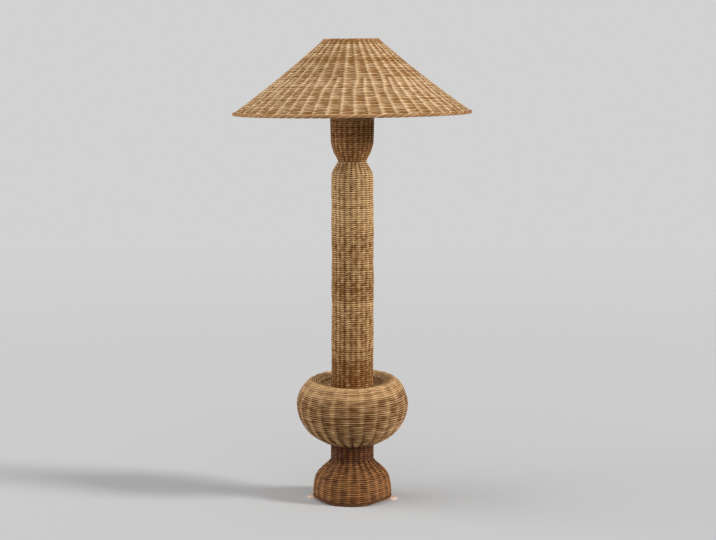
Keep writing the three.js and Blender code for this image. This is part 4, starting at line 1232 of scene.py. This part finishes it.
@dataclass
class WovenStand:
    """The four woven sections that stand on one another: base, globe, column and capital, in millimetres."""

    base_radius: float = 133.5
    bell_height: float = 138.0
    base_height: float = 191.0
    neck_radius: float = 73.0
    border_reach: float = 5.0
    globe_radius: float = 189.0
    globe_height: float = 221.0
    globe_tuck: float = 7.7  # how far the globe's foot reaches in under the neck
    border_radius: float = 106.5
    border_top: float = 400.5
    border_drop: float = 7.5
    border_slant: float = 4.0
    column_radius: float = 71.0
    column_gap: float = 0.3
    column_foot: float = 382.0
    ledge_rise: float = 8.0  # how far the ledge ends above the column's foot
    waist_level: float = 1146.0
    waist_radius: float = 48.0
    shoulder_height: float = 52.0
    capital_radius: float = 74.0
    capital_top: float = 1291.0
    bowl_height: float = 72.0
    lip_reach: float = 4.5

    def build_base(self) -> None:
        """Weaves the bell and neck of the base, with its border."""
        shares = [(0.975, 0.075), (1, 0.15), (0.955, 0.4), (0.82, 0.62), (0.5, 0.79), (0.2, 0.905), (0, 1)]
        bell = scaled(shares, (self.neck_radius, self.base_radius), (0.0, self.bell_height))
        line = np.vstack([smooth_line(bell), [(self.neck_radius, self.base_height)]])
        wall = BaseBell(
            "base", "base_skin", resampled(line),
            weave=Weave(rib=7.0, wander=0.8, drift=0.12, mottle=0.12),
            finish=BASE_PITH, stake_finish=BASE_STAKE_ROD, tone=0.48, seed=11,
        )
        wall.build()
        reach = self.border_reach
        RolledBorder(
            "base_rim", "base_border", self.base_radius - reach, reach, reach, 16, wall,
            finish=BASE_BORDER_PITH, slot=Slot.DARK_RATTAN,
        ).build()

    def build_globe(self) -> None:
        """Weaves the globe with its dished crown."""
        shares = [
            (0.41, 0), (0.513, 0.03), (0.77, 0.17), (0.943, 0.39), (1, 0.61), (0.955, 0.79),
            (0.855, 0.926), (0.755, 0.994), (0.66, 0.983), (0.6, 0.963),
        ]
        heights = (self.base_height, self.base_height + self.globe_height)
        points = scaled(shares, (0.0, self.globe_radius), heights)
        neck = np.array([self.neck_radius - self.globe_tuck, self.base_height])
        crest = smooth_line(points + [(self.border_radius, self.border_top)])
        foot = np.array([self.border_radius - self.border_slant, self.border_top - self.border_drop])
        inner = np.array([self.column_radius + self.column_gap, self.column_foot + self.ledge_rise])
        GlobeWall(
            "globe", "globe_skin", resampled(np.vstack([neck, crest, foot, inner])),
            weave=Weave(
                pitch=7.8, cross_up=2.0, rib=8.5, steps=8, stake_across=4.5, drift=0.07, groove_from=0.38,
                rub_and_highlight=0.15, veil=0.45, mottle=0.12,
            ),
            finish=GLOBE_PITH, seed=23, tone=0.5,
            ledge=float(np.linalg.norm(inner - foot)),
            drop=float(np.linalg.norm(foot - crest[-1])),
        ).build(parts=2)

    def build_column(self) -> None:
        """Weaves the column with its shoulder."""
        shares = [(0.95, 0), (0.87, 0.25), (0.64, 0.49), (0.27, 0.76), (0, 1)]
        start = self.waist_level - self.shoulder_height
        shoulder = scaled(shares, (self.waist_radius, self.column_radius), (start, self.waist_level))
        top = smooth_line([(self.column_radius, start - self.shoulder_height)] + shoulder)
        ColumnWall(
            "column", "column_skin", resampled(np.vstack([[(self.column_radius, self.column_foot)], top])),
            weave=Weave(rib=5.0, wander=1.5, drift=0.15, mottle=0.15, scatter=0.12, rub_and_highlight=0.2, veil=0.55),
            seed=37, tone=0.42, turn=7.2,
        ).build(parts=3)

    def build_capital(self) -> None:
        """Weaves the capital with its lip."""
        shares = [(0, 0), (0.24, 0.2), (0.54, 0.39), (0.86, 0.76), (0.93, 1)]
        heights = (self.waist_level, self.waist_level + self.bowl_height)
        bowl = scaled(shares, (self.waist_radius, self.capital_radius), heights)
        reach = self.lip_reach
        # Its low tone is painted shade under the lampshade
        wall = WovenWall(
            "capital", "capital_skin",
            resampled(smooth_line(bowl + [(self.capital_radius, self.capital_top - 2 * reach)])),
            weave=Weave(rib=5.0, wander=0.8), finish=CAPITAL_PITH, seed=41, tone=0.31,
        )
        wall.build()
        RolledBorder(
            "capital_rim", "capital_border", self.capital_radius - reach, self.capital_top - reach, reach, 18,
            wall, finish=CAPITAL_BORDER_PITH, slot=Slot.DARK_RATTAN,
        ).build()

    def build(self) -> None:
        """Builds the four sections."""
        for build in (self.build_base, self.build_globe, self.build_column, self.build_capital):
            build()


@dataclass
class WovenShade:
    """The woven cone with its two borders, in millimetres."""

    foot_radius: float = 393.5
    foot_level: float = 1307.0
    head_radius: float = 90.5
    head_level: float = 1547.5
    sag: float = 5.0
    half_wall: float = 3.2
    border_reach: float = 5.5
    top_reach: float = 4.5
    upper_stakes: int = 36
    lower_stakes: int = 54
    foot_gap: float = 0.7  # from the lower border's edge to the wall
    head_gap: float = 0.3  # from the wall to the top border's edge
    line_points: int = 180
    stained_share: float = 0.74  # share of the cone's height at which a stained round lies
    lean: Lean = Lean()

    def visible_line(self) -> np.ndarray:
        """Finds the outside of the wall, from border to border.

        Returns:
            Rows of radius and height.
        """
        foot = np.array([self.foot_radius, self.foot_level])
        slant = np.array([self.head_radius, self.head_level]) - foot
        length, slope = float(np.linalg.norm(slant)), unit(slant)
        last = length - self.top_reach - self.head_gap
        along = np.linspace(self.border_reach + self.foot_gap, last, self.line_points)
        share = along / length
        out = self.half_wall - 4 * self.sag * share * (1 - share)
        return foot + along[:, None] * slope + out[:, None] * np.array([slope[1], -slope[0]])

    def build(self) -> None:
        """Weaves the two halves of the wall and rolls the borders."""
        line = self.visible_line()
        middle = len(line) // 2
        weave = Weave(
            pitch=8.4, strand_out=1.2, cross_up=2.15, front_up=3.9, swing_out=1.9, swing_in=2.7, rib=7.0,
            steps=8, stake_out=1.2, wander=0.6, drift=0.07, groove_from=0.55, scatter=0.17, jitter=0.04,
            mottle=0.12, rub_and_highlight=0.36, veil=0.95, alternate=0.2,
        )
        half = partial(
            ShadeWall, node="shade_skin", weave=weave, finish=SHADE_PITH, body=Body.SHADE, tone=0.38,
            lean=self.lean,
        )
        lower = half("shade_lower", line=line[:middle + 1], stakes=self.lower_stakes, seed=53, spread=70.0)
        lower.build(parts=2)
        height = float(np.linalg.norm(line[-1] - line[middle]))
        rings = (weave.pitch / 2, (2 * self.stained_share - 1) * height, height - weave.pitch)
        upper = half("shade_upper", line=line[middle:], stakes=self.upper_stakes, seed=59, rings=rings)
        upper.build(parts=2)
        RolledBorder(
            "shade_lower_rim", "shade_lower_border", self.foot_radius, self.foot_level, self.border_reach, 28,
            lower, tone=0.46,
        ).build()
        RolledBorder(
            "shade_top_rim", "shade_top_border", self.head_radius, self.head_level, self.top_reach, 10,
            upper, slot=Slot.DARK_RATTAN, tone=0.7,
        ).build()


@dataclass
class FootSlat:
    """The wooden slat under the base, planed, with round ends and eased edges, in millimetres."""

    ease: float = 1.3
    screw_spacing: float = 160.0
    screw_row_spacing: float = 22.0
    screw_head: float = 4.5
    washer: float = 15.3

    def outlines(self, length: float, width: float) -> list[np.ndarray]:
        """Draws the slat and its holes, all moved in by its eased edge.

        Args:
            length: Length of the slat.
            width: Width of the slat.

        Returns:
            The points of the slat, of the hole for the washer and of those for the screws.
        """
        end = around(width / 2 - self.ease, np.linspace(-math.pi / 2, math.pi / 2, 25), 0.0)
        end[:, 0] += (length - width) / 2
        screw = around(self.screw_head + self.ease, angles(24), 0.0)
        spacing = np.array([self.screw_spacing, self.screw_row_spacing, 0.0]) / 2
        screws = [screw + spacing * (x, y, 0) for x in (-1, 1) for y in (-1, 1)]
        return [np.vstack([end, -end]), around(self.washer + self.ease, angles(48), 0.0), *screws]

    def build(self) -> None:
        """Planes the slat and bores it."""
        low, high = box_of("foot_slat")
        curve = bpy.data.curves.new("slat", "CURVE")
        curve.dimensions = "2D"
        curve.fill_mode = "BOTH"
        curve.extrude = ((high.z - low.z) / 2 - self.ease) * MM
        curve.bevel_depth = self.ease * MM
        curve.bevel_resolution = 3
        for points in self.outlines(high.x - low.x, high.y - low.y):
            spline = curve.splines.new("POLY")
            spline.points.add(len(points) - 1)
            spline.use_cyclic_u = True
            for point, place in zip(spline.points, points * MM):
                point.co = (*place, 1.0)
        drawn = bpy.data.objects.new("slat_drawn", curve)
        mesh = bpy.data.meshes.new_from_object(drawn)
        bpy.data.objects.remove(drawn)
        mesh.transform(Matrix.Translation((0.0, 0.0, (low.z + high.z) / 2 * MM)))
        close_and_shade(mesh)
        mount(make_object("slat", mesh, SLAT_WOOD), "foot_slat", Body.STAND)


@dataclass
class Bushing:
    """The moulded bushing in the back of the base, in millimetres."""

    height: float = 40.0
    bore: float = 3.6
    stem: float = 6.0
    flange: float = 9.0
    flange_thickness: float = 2.0
    ease: float = 0.6

    def build(self) -> None:
        """Moulds the bushing."""
        inner, outer = (corner.y for corner in box_of("cord_bushing"))
        bore, stem, flange, ease = self.bore, self.stem, self.flange, self.ease
        seat = outer - self.flange_thickness
        profile = [
            (bore + ease, inner), (stem - ease, inner), (stem, inner + ease), (stem, seat),
            (flange - 0.2, seat), (flange, seat + 0.3), (flange, outer - 1.1), (flange - 0.4, outer - 0.4),
            (flange - 1.2, outer), (bore + 1.2, outer), (bore + 0.3, outer - 0.4), (bore, outer - 1.4),
            (bore, inner + ease),
        ]
        lay = Matrix.Translation((0.0, 0.0, self.height)) @ Matrix.Rotation(-math.pi / 2, 4, "X")
        mesher = Mesher().turned(profile, 40, move=lay)
        mesher.piece("outlet_bushing", "cord_bushing", PHENOLIC, Body.STAND, Slot.BLACK_PLASTIC)


@dataclass
class Hoops:
    """The hoops of round cane bound inside the globe and the shade, in millimetres."""

    globe_radius: float = 175.8
    globe_half: float = 3.8  # half its thickness
    shade_radius: float = 371.4
    shade_half: float = 3.0

    def bend(self, wall: str, radius: float, half: float, lean: Lean, body: Body) -> None:
        """Bends one hoop, a little uneven as round cane is.

        Args:
            wall: Name of the wall that it is bound to.
            radius: Radius of its middle.
            half: Half its thickness.
            lean: The lean that it follows.
            body: The body that it rides on.
        """
        node = f"{wall}_hoop"
        angle = angles(180)
        uneven = half * (1.0 + 0.05 * np.cos(11 * angle) + 0.04 * np.cos(17 * angle + 1.0)) * MM
        path = lean.apply(around(radius, angle, sum(heights_of(node)) / 2)) * MM
        mesher = Mesher().strand(path, around(1.0, angle, 0.0), uneven, uneven, sides=14, closed=True)
        mesher.piece(f"hoop_{wall}", node, CANE, body, Slot.CANE)

    def build(self) -> None:
        """Bends both hoops."""
        self.bend("globe", self.globe_radius, self.globe_half, Lean(degrees=0.0), Body.STAND)
        self.bend("shade", self.shade_radius, self.shade_half, Lean(), Body.SHADE)


@dataclass
class Socket:
    """The spun brass socket: cap and shell, in millimetres."""

    pipe: float = 5.3
    hub: float = 8.0
    sheet: float = 0.9
    floor: float = 7.0
    shell_inner: float = 15.0
    shell_outer: float = 17.0

    def build_cap(self) -> None:
        """Spins the cap that screws onto the pipe."""
        corner, (radius, _, high) = box_of("socket_cap")
        low, floor = corner.z, corner.z + self.floor
        pipe, hub, inside = self.pipe, self.hub, radius - self.sheet
        profile = [
            (pipe, low), (hub - 0.5, low), (hub, low + 0.6), (hub, floor - 2.0), (hub + 0.8, floor - 1.0),
            (radius - 3.0, floor - 0.4), (radius - 1.0, floor + 0.8), (radius - 0.1, floor + 2.6),
            (radius, floor + 4.4), (radius, high - 4.0), (radius + 0.5, high - 3.2),
            (radius + 0.5, high - 2.2), (radius, high - 1.4), (radius, high), (inside, high),
            (inside, floor + 4.0), (radius - 2.6, floor + 1.0), (pipe, floor),
        ]
        Mesher().turned(profile, 64).piece("brass_cap", "socket_cap", BRASS, Body.STAND, Slot.BRASS)

    def build_shell(self) -> None:
        """Spins the shell, with its beads and its rolled mouth."""
        low, high = heights_of("socket_shell")
        step = box_of("socket_cap")[1].z + 0.3
        inner, outer = self.shell_inner, self.shell_outer
        profile = [
            (inner - 0.1, low), (inner + 0.7, low), (inner + 0.7, step), (outer - 0.2, step + 0.6),
            (outer, step + 1.4), (outer, step + 3.0), (outer + 0.5, step + 3.9), (outer, step + 4.8),
            (outer, high - 7.0), (outer + 0.5, high - 6.2), (outer, high - 5.4), (outer, high - 1.6),
            (outer + 0.7, high - 0.9), (outer + 0.5, high), (outer - 0.3, high), (outer - 1.0, high - 1.0),
            (outer - 0.9, step + 2.0), (inner - 0.1, step + 1.0),
        ]
        Mesher().turned(profile, 64).piece("brass_shell", "socket_shell", BRASS, Body.STAND, Slot.BRASS)

    def build(self) -> None:
        """Builds the cap and the shell."""
        self.build_cap()
        self.build_shell()


@dataclass
class Knob:
    """The switch's fluted knob on its shaft, which points to the front, in millimetres."""

    radius: float = 6.4
    shaft: float = 2.0
    length: float = 11.0
    flutes: int = 16
    flute_depth: float = 0.6

    def build(self) -> None:
        """Moulds the knob."""
        low, high = box_of("switch_knob")
        tip, root = -low.y, -high.y
        start, full = tip - self.length, self.radius
        profile = np.array([
            (0.0, root, 0.0), (self.shaft - 0.3, root, 0.0), (self.shaft, root + 0.3, 0.0),
            (self.shaft, start, 0.0), (0.72 * full, start, 0.0), (0.8 * full, start + 1.2, 0.2),
            (full, start + 2.4, 1.0),
            (0.97 * full, tip - 2.0, 1.0), (0.9 * full, tip - 0.7, 0.7), (0.76 * full, tip - 0.1, 0.0),
            (0.6 * full, tip, 0.0), (0.5 * full, tip - 0.4, 0.0), (0.0, tip - 0.5, 0.0),
        ])
        radius, out, fluted = profile.T[:, :, None]
        angle = angles(6 * self.flutes)
        flute = self.flute_depth * (0.5 - 0.5 * np.cos(self.flutes * angle))
        upright = around(radius - fluted * flute, angle, out)
        laid = upright[..., [0, 2, 1]] * (1, -1, 1) + (0, 0, sum(heights_of("switch_knob")) / 2)
        Mesher().grid(laid * MM).piece("fluted_knob", "switch_knob", PHENOLIC, Body.KNOB, Slot.BLACK_PLASTIC)


@dataclass
class Bulb:
    """The light bulb: blown glass, rolled cap and contact, in millimetres."""

    glass_radius: float = 30.0
    cap_radius: float = 12.4
    thread_depth: float = 0.65
    thread_pitch: float = 3.6
    thread_end: float = 1.5  # length over which the thread runs out

    def build_glass(self) -> None:
        """Blows the glass."""
        low, high = heights_of("bulb_glass")
        shares = [
            (0.4, 0), (0.43, 0.06), (0.48, 0.14), (0.66, 0.3), (0.95, 0.52), (0.985, 0.64), (0.95, 0.76),
            (0.76, 0.91), (0.42, 0.985), (0.0, 1.0),
        ]
        line = smooth_line(scaled(shares, (0.0, self.glass_radius), (low, high)), 8)
        line[:, 0] = np.maximum(line[:, 0], 0.0)
        mesher = Mesher().turned([(0.0, low), *line], 64, ring=False)
        mesher.piece("opal_bulb", "bulb_glass", OPAL, Body.BULB, Slot.OPAL_GLASS)

    def build_cap(self) -> None:
        """Rolls the cap with its thread."""
        low, high = heights_of("bulb_cap")
        angle = angles(64)
        rows = [(0.0, low), (5.0, low), (7.0, low + 1.2), (10.8, low + 3.2)]
        heights = np.linspace(low + 4.0, high - 2.4, 120)
        for height in heights:
            depth = self.thread_depth * min(height - heights[0], heights[-1] - height, self.thread_end)
            wave = np.cos(TURN * height / self.thread_pitch - angle)
            rows.append((self.cap_radius + depth / self.thread_end * wave, height))
        rows += [(12.9, high - 1.8), (12.9, high - 0.3), (12.2, high), (0.0, high)]
        mesher = Mesher().grid(np.array([around(radius, angle, height) for radius, height in rows]) * MM)
        mesher.piece("threaded_cap", "bulb_cap", ZINC, Body.BULB, Slot.ZINC_STEEL)

    def build(self) -> None:
        """Builds the glass and the cap."""
        self.build_glass()
        self.build_cap()


@dataclass
class Harp:
    """The brass harp with its ferrules and stud, and its sleeves, in millimetres."""

    wire: float = 2.0
    foot_x: float = 27.0
    bow_x: float = 57.0
    ferrule: float = 2.9
    ferrule_length: float = 20.0
    collar: float = 8.0
    collar_top: float = 1525.0
    collar_thickness: float = 3.0
    stud: float = 3.1
    thread_depth: float = 0.35
    thread_pitch: float = 0.9
    sleeve: float = 4.4
    sleeve_bore: float = 3.15

    def path(self, foot: float, top: float) -> np.ndarray:
        """Draws the wire's path, up one side and down the other.

        Args:
            foot: Height of the harp's feet.
            top: Height of the collar's underside.

        Returns:
            Its points, one a row.
        """
        shares = [(0, 0), (0, 0.08), (0, 0.16), (0.3, 0.25), (0.58, 0.34), (1, 0.55), (0.8, 0.78)]
        half = scaled(shares, (self.foot_x, self.bow_x), (foot, top))
        half += [(0.5 * self.bow_x, foot + 0.935 * (top - foot)), (self.collar, top + 0.4)]
        line = smooth_line(half + [(-x, z) for x, z in reversed(half)])
        return np.stack([line[:, 0], np.zeros(len(line)), line[:, 1]], -1)

    def build_wire(self) -> None:
        """Bends the wire and turns the ferrules, the collar and the stud."""
        foot, tip = heights_of("harp")
        base, end = self.collar_top - self.collar_thickness, foot + self.ferrule_length
        path, wire = self.path(foot, base), self.wire * MM
        mesher = Mesher().strand(path * MM, (0.0, 1.0, 0.0), wire, wire, sides=16)
        ferrule = [
            (0.0, foot), (self.ferrule - 0.5, foot), (self.ferrule, foot + 0.5), (self.ferrule, end - 1.0),
            (self.ferrule - 0.3, end - 0.3), (self.wire, end), (0.0, end),
        ]
        for side in (-1, 1):
            mesher.turned(ferrule, 32, ring=False, move=Matrix.Translation((side * self.foot_x, 0.0, 0.0)))
        stud = [
            (0.0, base), (self.collar - 0.7, base), (self.collar, base + 0.7),
            (self.collar, self.collar_top - 0.6), (self.collar - 0.6, self.collar_top),
            (self.stud, self.collar_top),
        ]
        for level in np.arange(self.collar_top + 0.6, tip - 1.2, self.thread_pitch):
            stud += [(self.stud - self.thread_depth, level), (self.stud, level + self.thread_pitch / 2)]
        mesher.turned([*stud, (self.stud - 0.7, tip), (0.0, tip)], 40, ring=False)
        mesher.piece("brass_harp", "harp", BRASS, Body.STAND, Slot.BRASS)

    def build_sleeves(self) -> None:
        """Turns the two sleeves with their beaded ends."""
        bead, waist = self.sleeve, self.sleeve - 0.45
        for side, name, body in ((-1, "left", Body.SLEEVE_LEFT), (1, "right", Body.SLEEVE_RIGHT)):
            node = f"harp_sleeve_{name}"
            low, high = heights_of(node)
            profile = [
                (self.sleeve_bore, low), (bead - 0.3, low), (bead, low + 0.4), (bead, low + 1.8),
                (waist, low + 2.4), (waist, high - 2.4), (bead, high - 1.8), (bead, high - 0.4),
                (bead - 0.3, high), (self.sleeve_bore, high),
            ]
            mesher = Mesher().turned(profile, 36, move=Matrix.Translation((side * self.foot_x, 0.0, 0.0)))
            mesher.piece(f"beaded_sleeve_{name}", node, BRASS, body, Slot.BRASS)

    def build(self) -> None:
        """Builds the wire and the sleeves."""
        self.build_wire()
        self.build_sleeves()


@dataclass
class Fitter:
    """The shade's spider fitter: a leaning ring, three bent arms and a level washer, in millimetres."""

    wire: float = 1.8
    ring: float = 98.5
    arms: int = 3
    washer: float = 10.0
    bore: float = 3.4
    washer_thickness: float = 1.5
    lean: Lean = Lean()

    def build(self) -> None:
        """Bends and brazes the fitter."""
        low, high = box_of("shade_fitter")
        foot, top = low.z, low.z + self.washer_thickness
        level = high.z - self.wire - self.ring * math.sin(math.radians(self.lean.degrees))
        angle, wire = angles(120), self.wire * MM
        ring = self.lean.apply(around(self.ring, angle, level))
        mesher = Mesher().strand(ring * MM, around(1.0, angle, 0.0), wire, wire, sides=12, closed=True)
        rise = np.array([0.0, 0.0, foot + self.wire + 0.3])
        for towards in TURN / 4 + angles(self.arms):
            end = self.lean.apply(around(self.ring, towards, level))
            flat = around(1.0, towards, 0.0)
            middle = self.ring / 2 * flat + (0.0, 0.0, (rise[2] + end[2]) / 2)
            start, bend = (self.washer - 1.5) * flat + rise, 2 * self.washer * flat + rise
            line = smooth_line([start, bend, middle, end], 8)
            mesher.strand(line * MM, (-flat[1], flat[0], 0.0), wire, wire, sides=12)
        mesher.turned([
            (self.bore, foot), (self.washer - 0.3, foot), (self.washer, foot + 0.4), (self.washer, top - 0.4),
            (self.washer - 0.4, top), (self.bore + 0.2, top),
        ], 48)
        mesher.piece("spider_fitter", "shade_fitter", ZINC, Body.SHADE, Slot.ZINC_STEEL)


@dataclass
class Finial:
    """The turned brass finial, in millimetres."""

    radius: float = 8.0
    bore: float = 3.7
    bore_depth: float = 9.0

    def build(self) -> None:
        """Turns the finial."""
        foot, top = heights_of("finial")
        shares = [
            (0.8, 0), (0.87, 0.03), (0.87, 0.13), (0.78, 0.17), (0.62, 0.22), (0.64, 0.3), (0.74, 0.42),
            (0.95, 0.56), (1.0, 0.66), (0.96, 0.76), (0.8, 0.89), (0.5, 0.97), (0.25, 0.995), (0.0, 1.0),
        ]
        bore = [(0.0, foot + self.bore_depth), (self.bore, foot + self.bore_depth), (self.bore, foot)]
        outside = scaled(shares, (0.0, self.radius), (foot, top))
        mesher = Mesher().turned(bore + outside, 64, ring=False)
        mesher.piece("turned_finial", "finial", BRASS, Body.FINIAL, Slot.BRASS)


@dataclass
class CarriedParts:
    """The CAD nodes that show as they are, under finishes of their own."""

    finishes: tuple[tuple[Finish, tuple[str, ...]], ...] = (
        (ZINC, (
            "slat_screw_1", "slat_screw_2", "slat_screw_3", "slat_screw_4", "weight_nut", "bottom_washer",
            "bottom_nut", "centre_pipe", "top_washer", "harp_saddle", "saddle_nut",
        )),
        (PLYWOOD, ("base_plate", "neck_spacer", "crown_spacer", "waist_spacer", "capital_spacer")),
        (CAST_IRON, ("base_weight",)),
        (PHENOLIC, ("socket_body",)),
        (BRASS, ("screw_shell", "centre_contact", "bulb_contact")),
    )

    def build(self) -> None:
        """Dresses the nodes."""
        for finish, nodes in self.finishes:
            for node in nodes:
                finish.cover(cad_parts[node].data)
                LOG.info("%s: carried over", node)


@dataclass(frozen=True)
class FloorPaint(Finish):
    """Painted studio floor: pale grey and matte, fading into the air far from the lamp."""

    colour: str = "#C4C4C4"
    near: float = 2.5  # distance from the lamp at which it starts to fade, in metres
    far: float = 9.0  # distance at which it has faded

    def surface(self, add: Adder) -> Output:
        """Builds the floor's shader.

        Args:
            add: Adds a node to the material.

        Returns:
            The shader's output.
        """
        away = add("VectorMath", {0: add("TexCoord", output="Object")}, "Value", operation="LENGTH")
        fade = {"Value": away, "From Min": self.near, "From Max": self.far}
        faded = add("MapRange", fade, interpolation_type="SMOOTHSTEP")
        paint = add("BsdfDiffuse", {"Color": linear(self.colour)})
        return add("MixShader", {0: faded, 1: paint, 2: add("BsdfTransparent")})


@dataclass(frozen=True)
class Light:
    """A wide light, as the lamp sees it."""

    name: str
    strength: float
    spread: float  # how wide it looks from the lamp, in degrees
    heading: float  # where it comes from, in degrees right of the front
    height: float  # its height over the horizon, in degrees

    def build(self) -> None:
        """Sets up the light."""
        data = bpy.data.lights.new(self.name, "SUN")
        data.energy = self.strength
        data.angle = math.radians(self.spread)
        turn, rise = math.radians(self.heading), math.radians(self.height)
        towards = Vector((math.sin(turn) * math.cos(rise), -math.cos(turn) * math.cos(rise), math.sin(rise)))
        light = bpy.data.objects.new(self.name, data)
        light.location = 5.0 * towards
        light.rotation_mode = "QUATERNION"
        light.rotation_quaternion = (-towards).to_track_quat("-Z", "Y")
        bpy.context.collection.objects.link(light)


@dataclass
class Studio:
    """Floor, lights and camera; the camera stands as it did for the photo."""

    air: str = "#D2D2D2"  # colour of the air behind the lamp
    fill: float = 0.36  # strength of the light from all round
    lights: tuple[Light, ...] = (
        Light("key", 3.3, spread=14.0, heading=78.0, height=21.0),
        Light("overhead", 0.55, spread=70.0, heading=-10.0, height=48.0),
        Light("side_panel", 2.7, spread=70.0, heading=-84.0, height=13.0),
    )
    floor_radius: float = 10.0  # in metres
    distance: float = 6.5  # of the camera from the lamp's axis, in metres
    height: float = 1.52  # of the camera, in metres
    pitch: float = 6.49  # how far the camera looks down, in degrees
    heading: float = 5.0  # how far it stands right of the front, in degrees
    sideways: float = 0.0195  # how far it is shifted to its right, in metres
    focal_pixels: float = 1950.0  # its focal length in pixels of the photo
    picture_pixels: float = 716.0  # width of the photo
    sensor: float = 36.0  # width of its sensor, in millimetres

    def build_floor(self) -> None:
        """Lays the floor."""
        rings = np.array([around(radius, angles(96), 0.0) for radius in (0.0, self.floor_radius)])
        make_object("floor", Mesher().grid(rings).mesh("floor"), FloorPaint("floor_paint"))

    def build_world(self) -> None:
        """Fills the air with soft light; the camera sees it in its own grey."""
        world = bpy.data.worlds.new("air")
        bpy.context.scene.world = world
        world.use_nodes = True
        world.node_tree.nodes.clear()
        add = partial(add_node, world.node_tree)
        light = add("Background", {"Color": linear("#FFFFFF"), "Strength": self.fill})
        shown = add("Background", {"Color": linear(self.air), "Strength": 1.0})
        mixed = add("MixShader", {0: add("LightPath", output="Is Camera Ray"), 1: light, 2: shown})
        add("OutputWorld", {"Surface": mixed})

    def build_camera(self) -> None:
        """Sets up the camera."""
        data = bpy.data.cameras.new("camera")
        data.sensor_width = self.sensor
        data.lens = self.sensor * self.focal_pixels / self.picture_pixels
        camera = bpy.data.objects.new("camera", data)
        heading = math.radians(self.heading)
        right = Vector((math.cos(heading), math.sin(heading), 0.0))
        away = Vector((math.sin(heading), -math.cos(heading), 0.0))
        camera.location = self.distance * away + self.sideways * right + Vector((0.0, 0.0, self.height))
        camera.rotation_euler = (math.radians(90.0 - self.pitch), 0.0, heading)
        bpy.context.collection.objects.link(camera)
        bpy.context.scene.camera = camera

    def build(self) -> None:
        """Sets up the studio."""
        self.build_floor()
        for light in self.lights:
            light.build()
        self.build_world()
        self.build_camera()
        bpy.context.scene.view_settings.view_transform = "Standard"


def main() -> None:
    """Builds the lamp and its studio."""
    logging.basicConfig(level=logging.INFO, format="%(message)s", stream=sys.stdout)
    builders = (
        WovenStand, WovenShade, FootSlat, Bushing, Hoops, Socket, Knob, Bulb, Harp, Fitter, Finial,
        CarriedParts, Studio,
    )
    for builder in builders:
        builder().build()


if __name__ == "__main__":
    main()
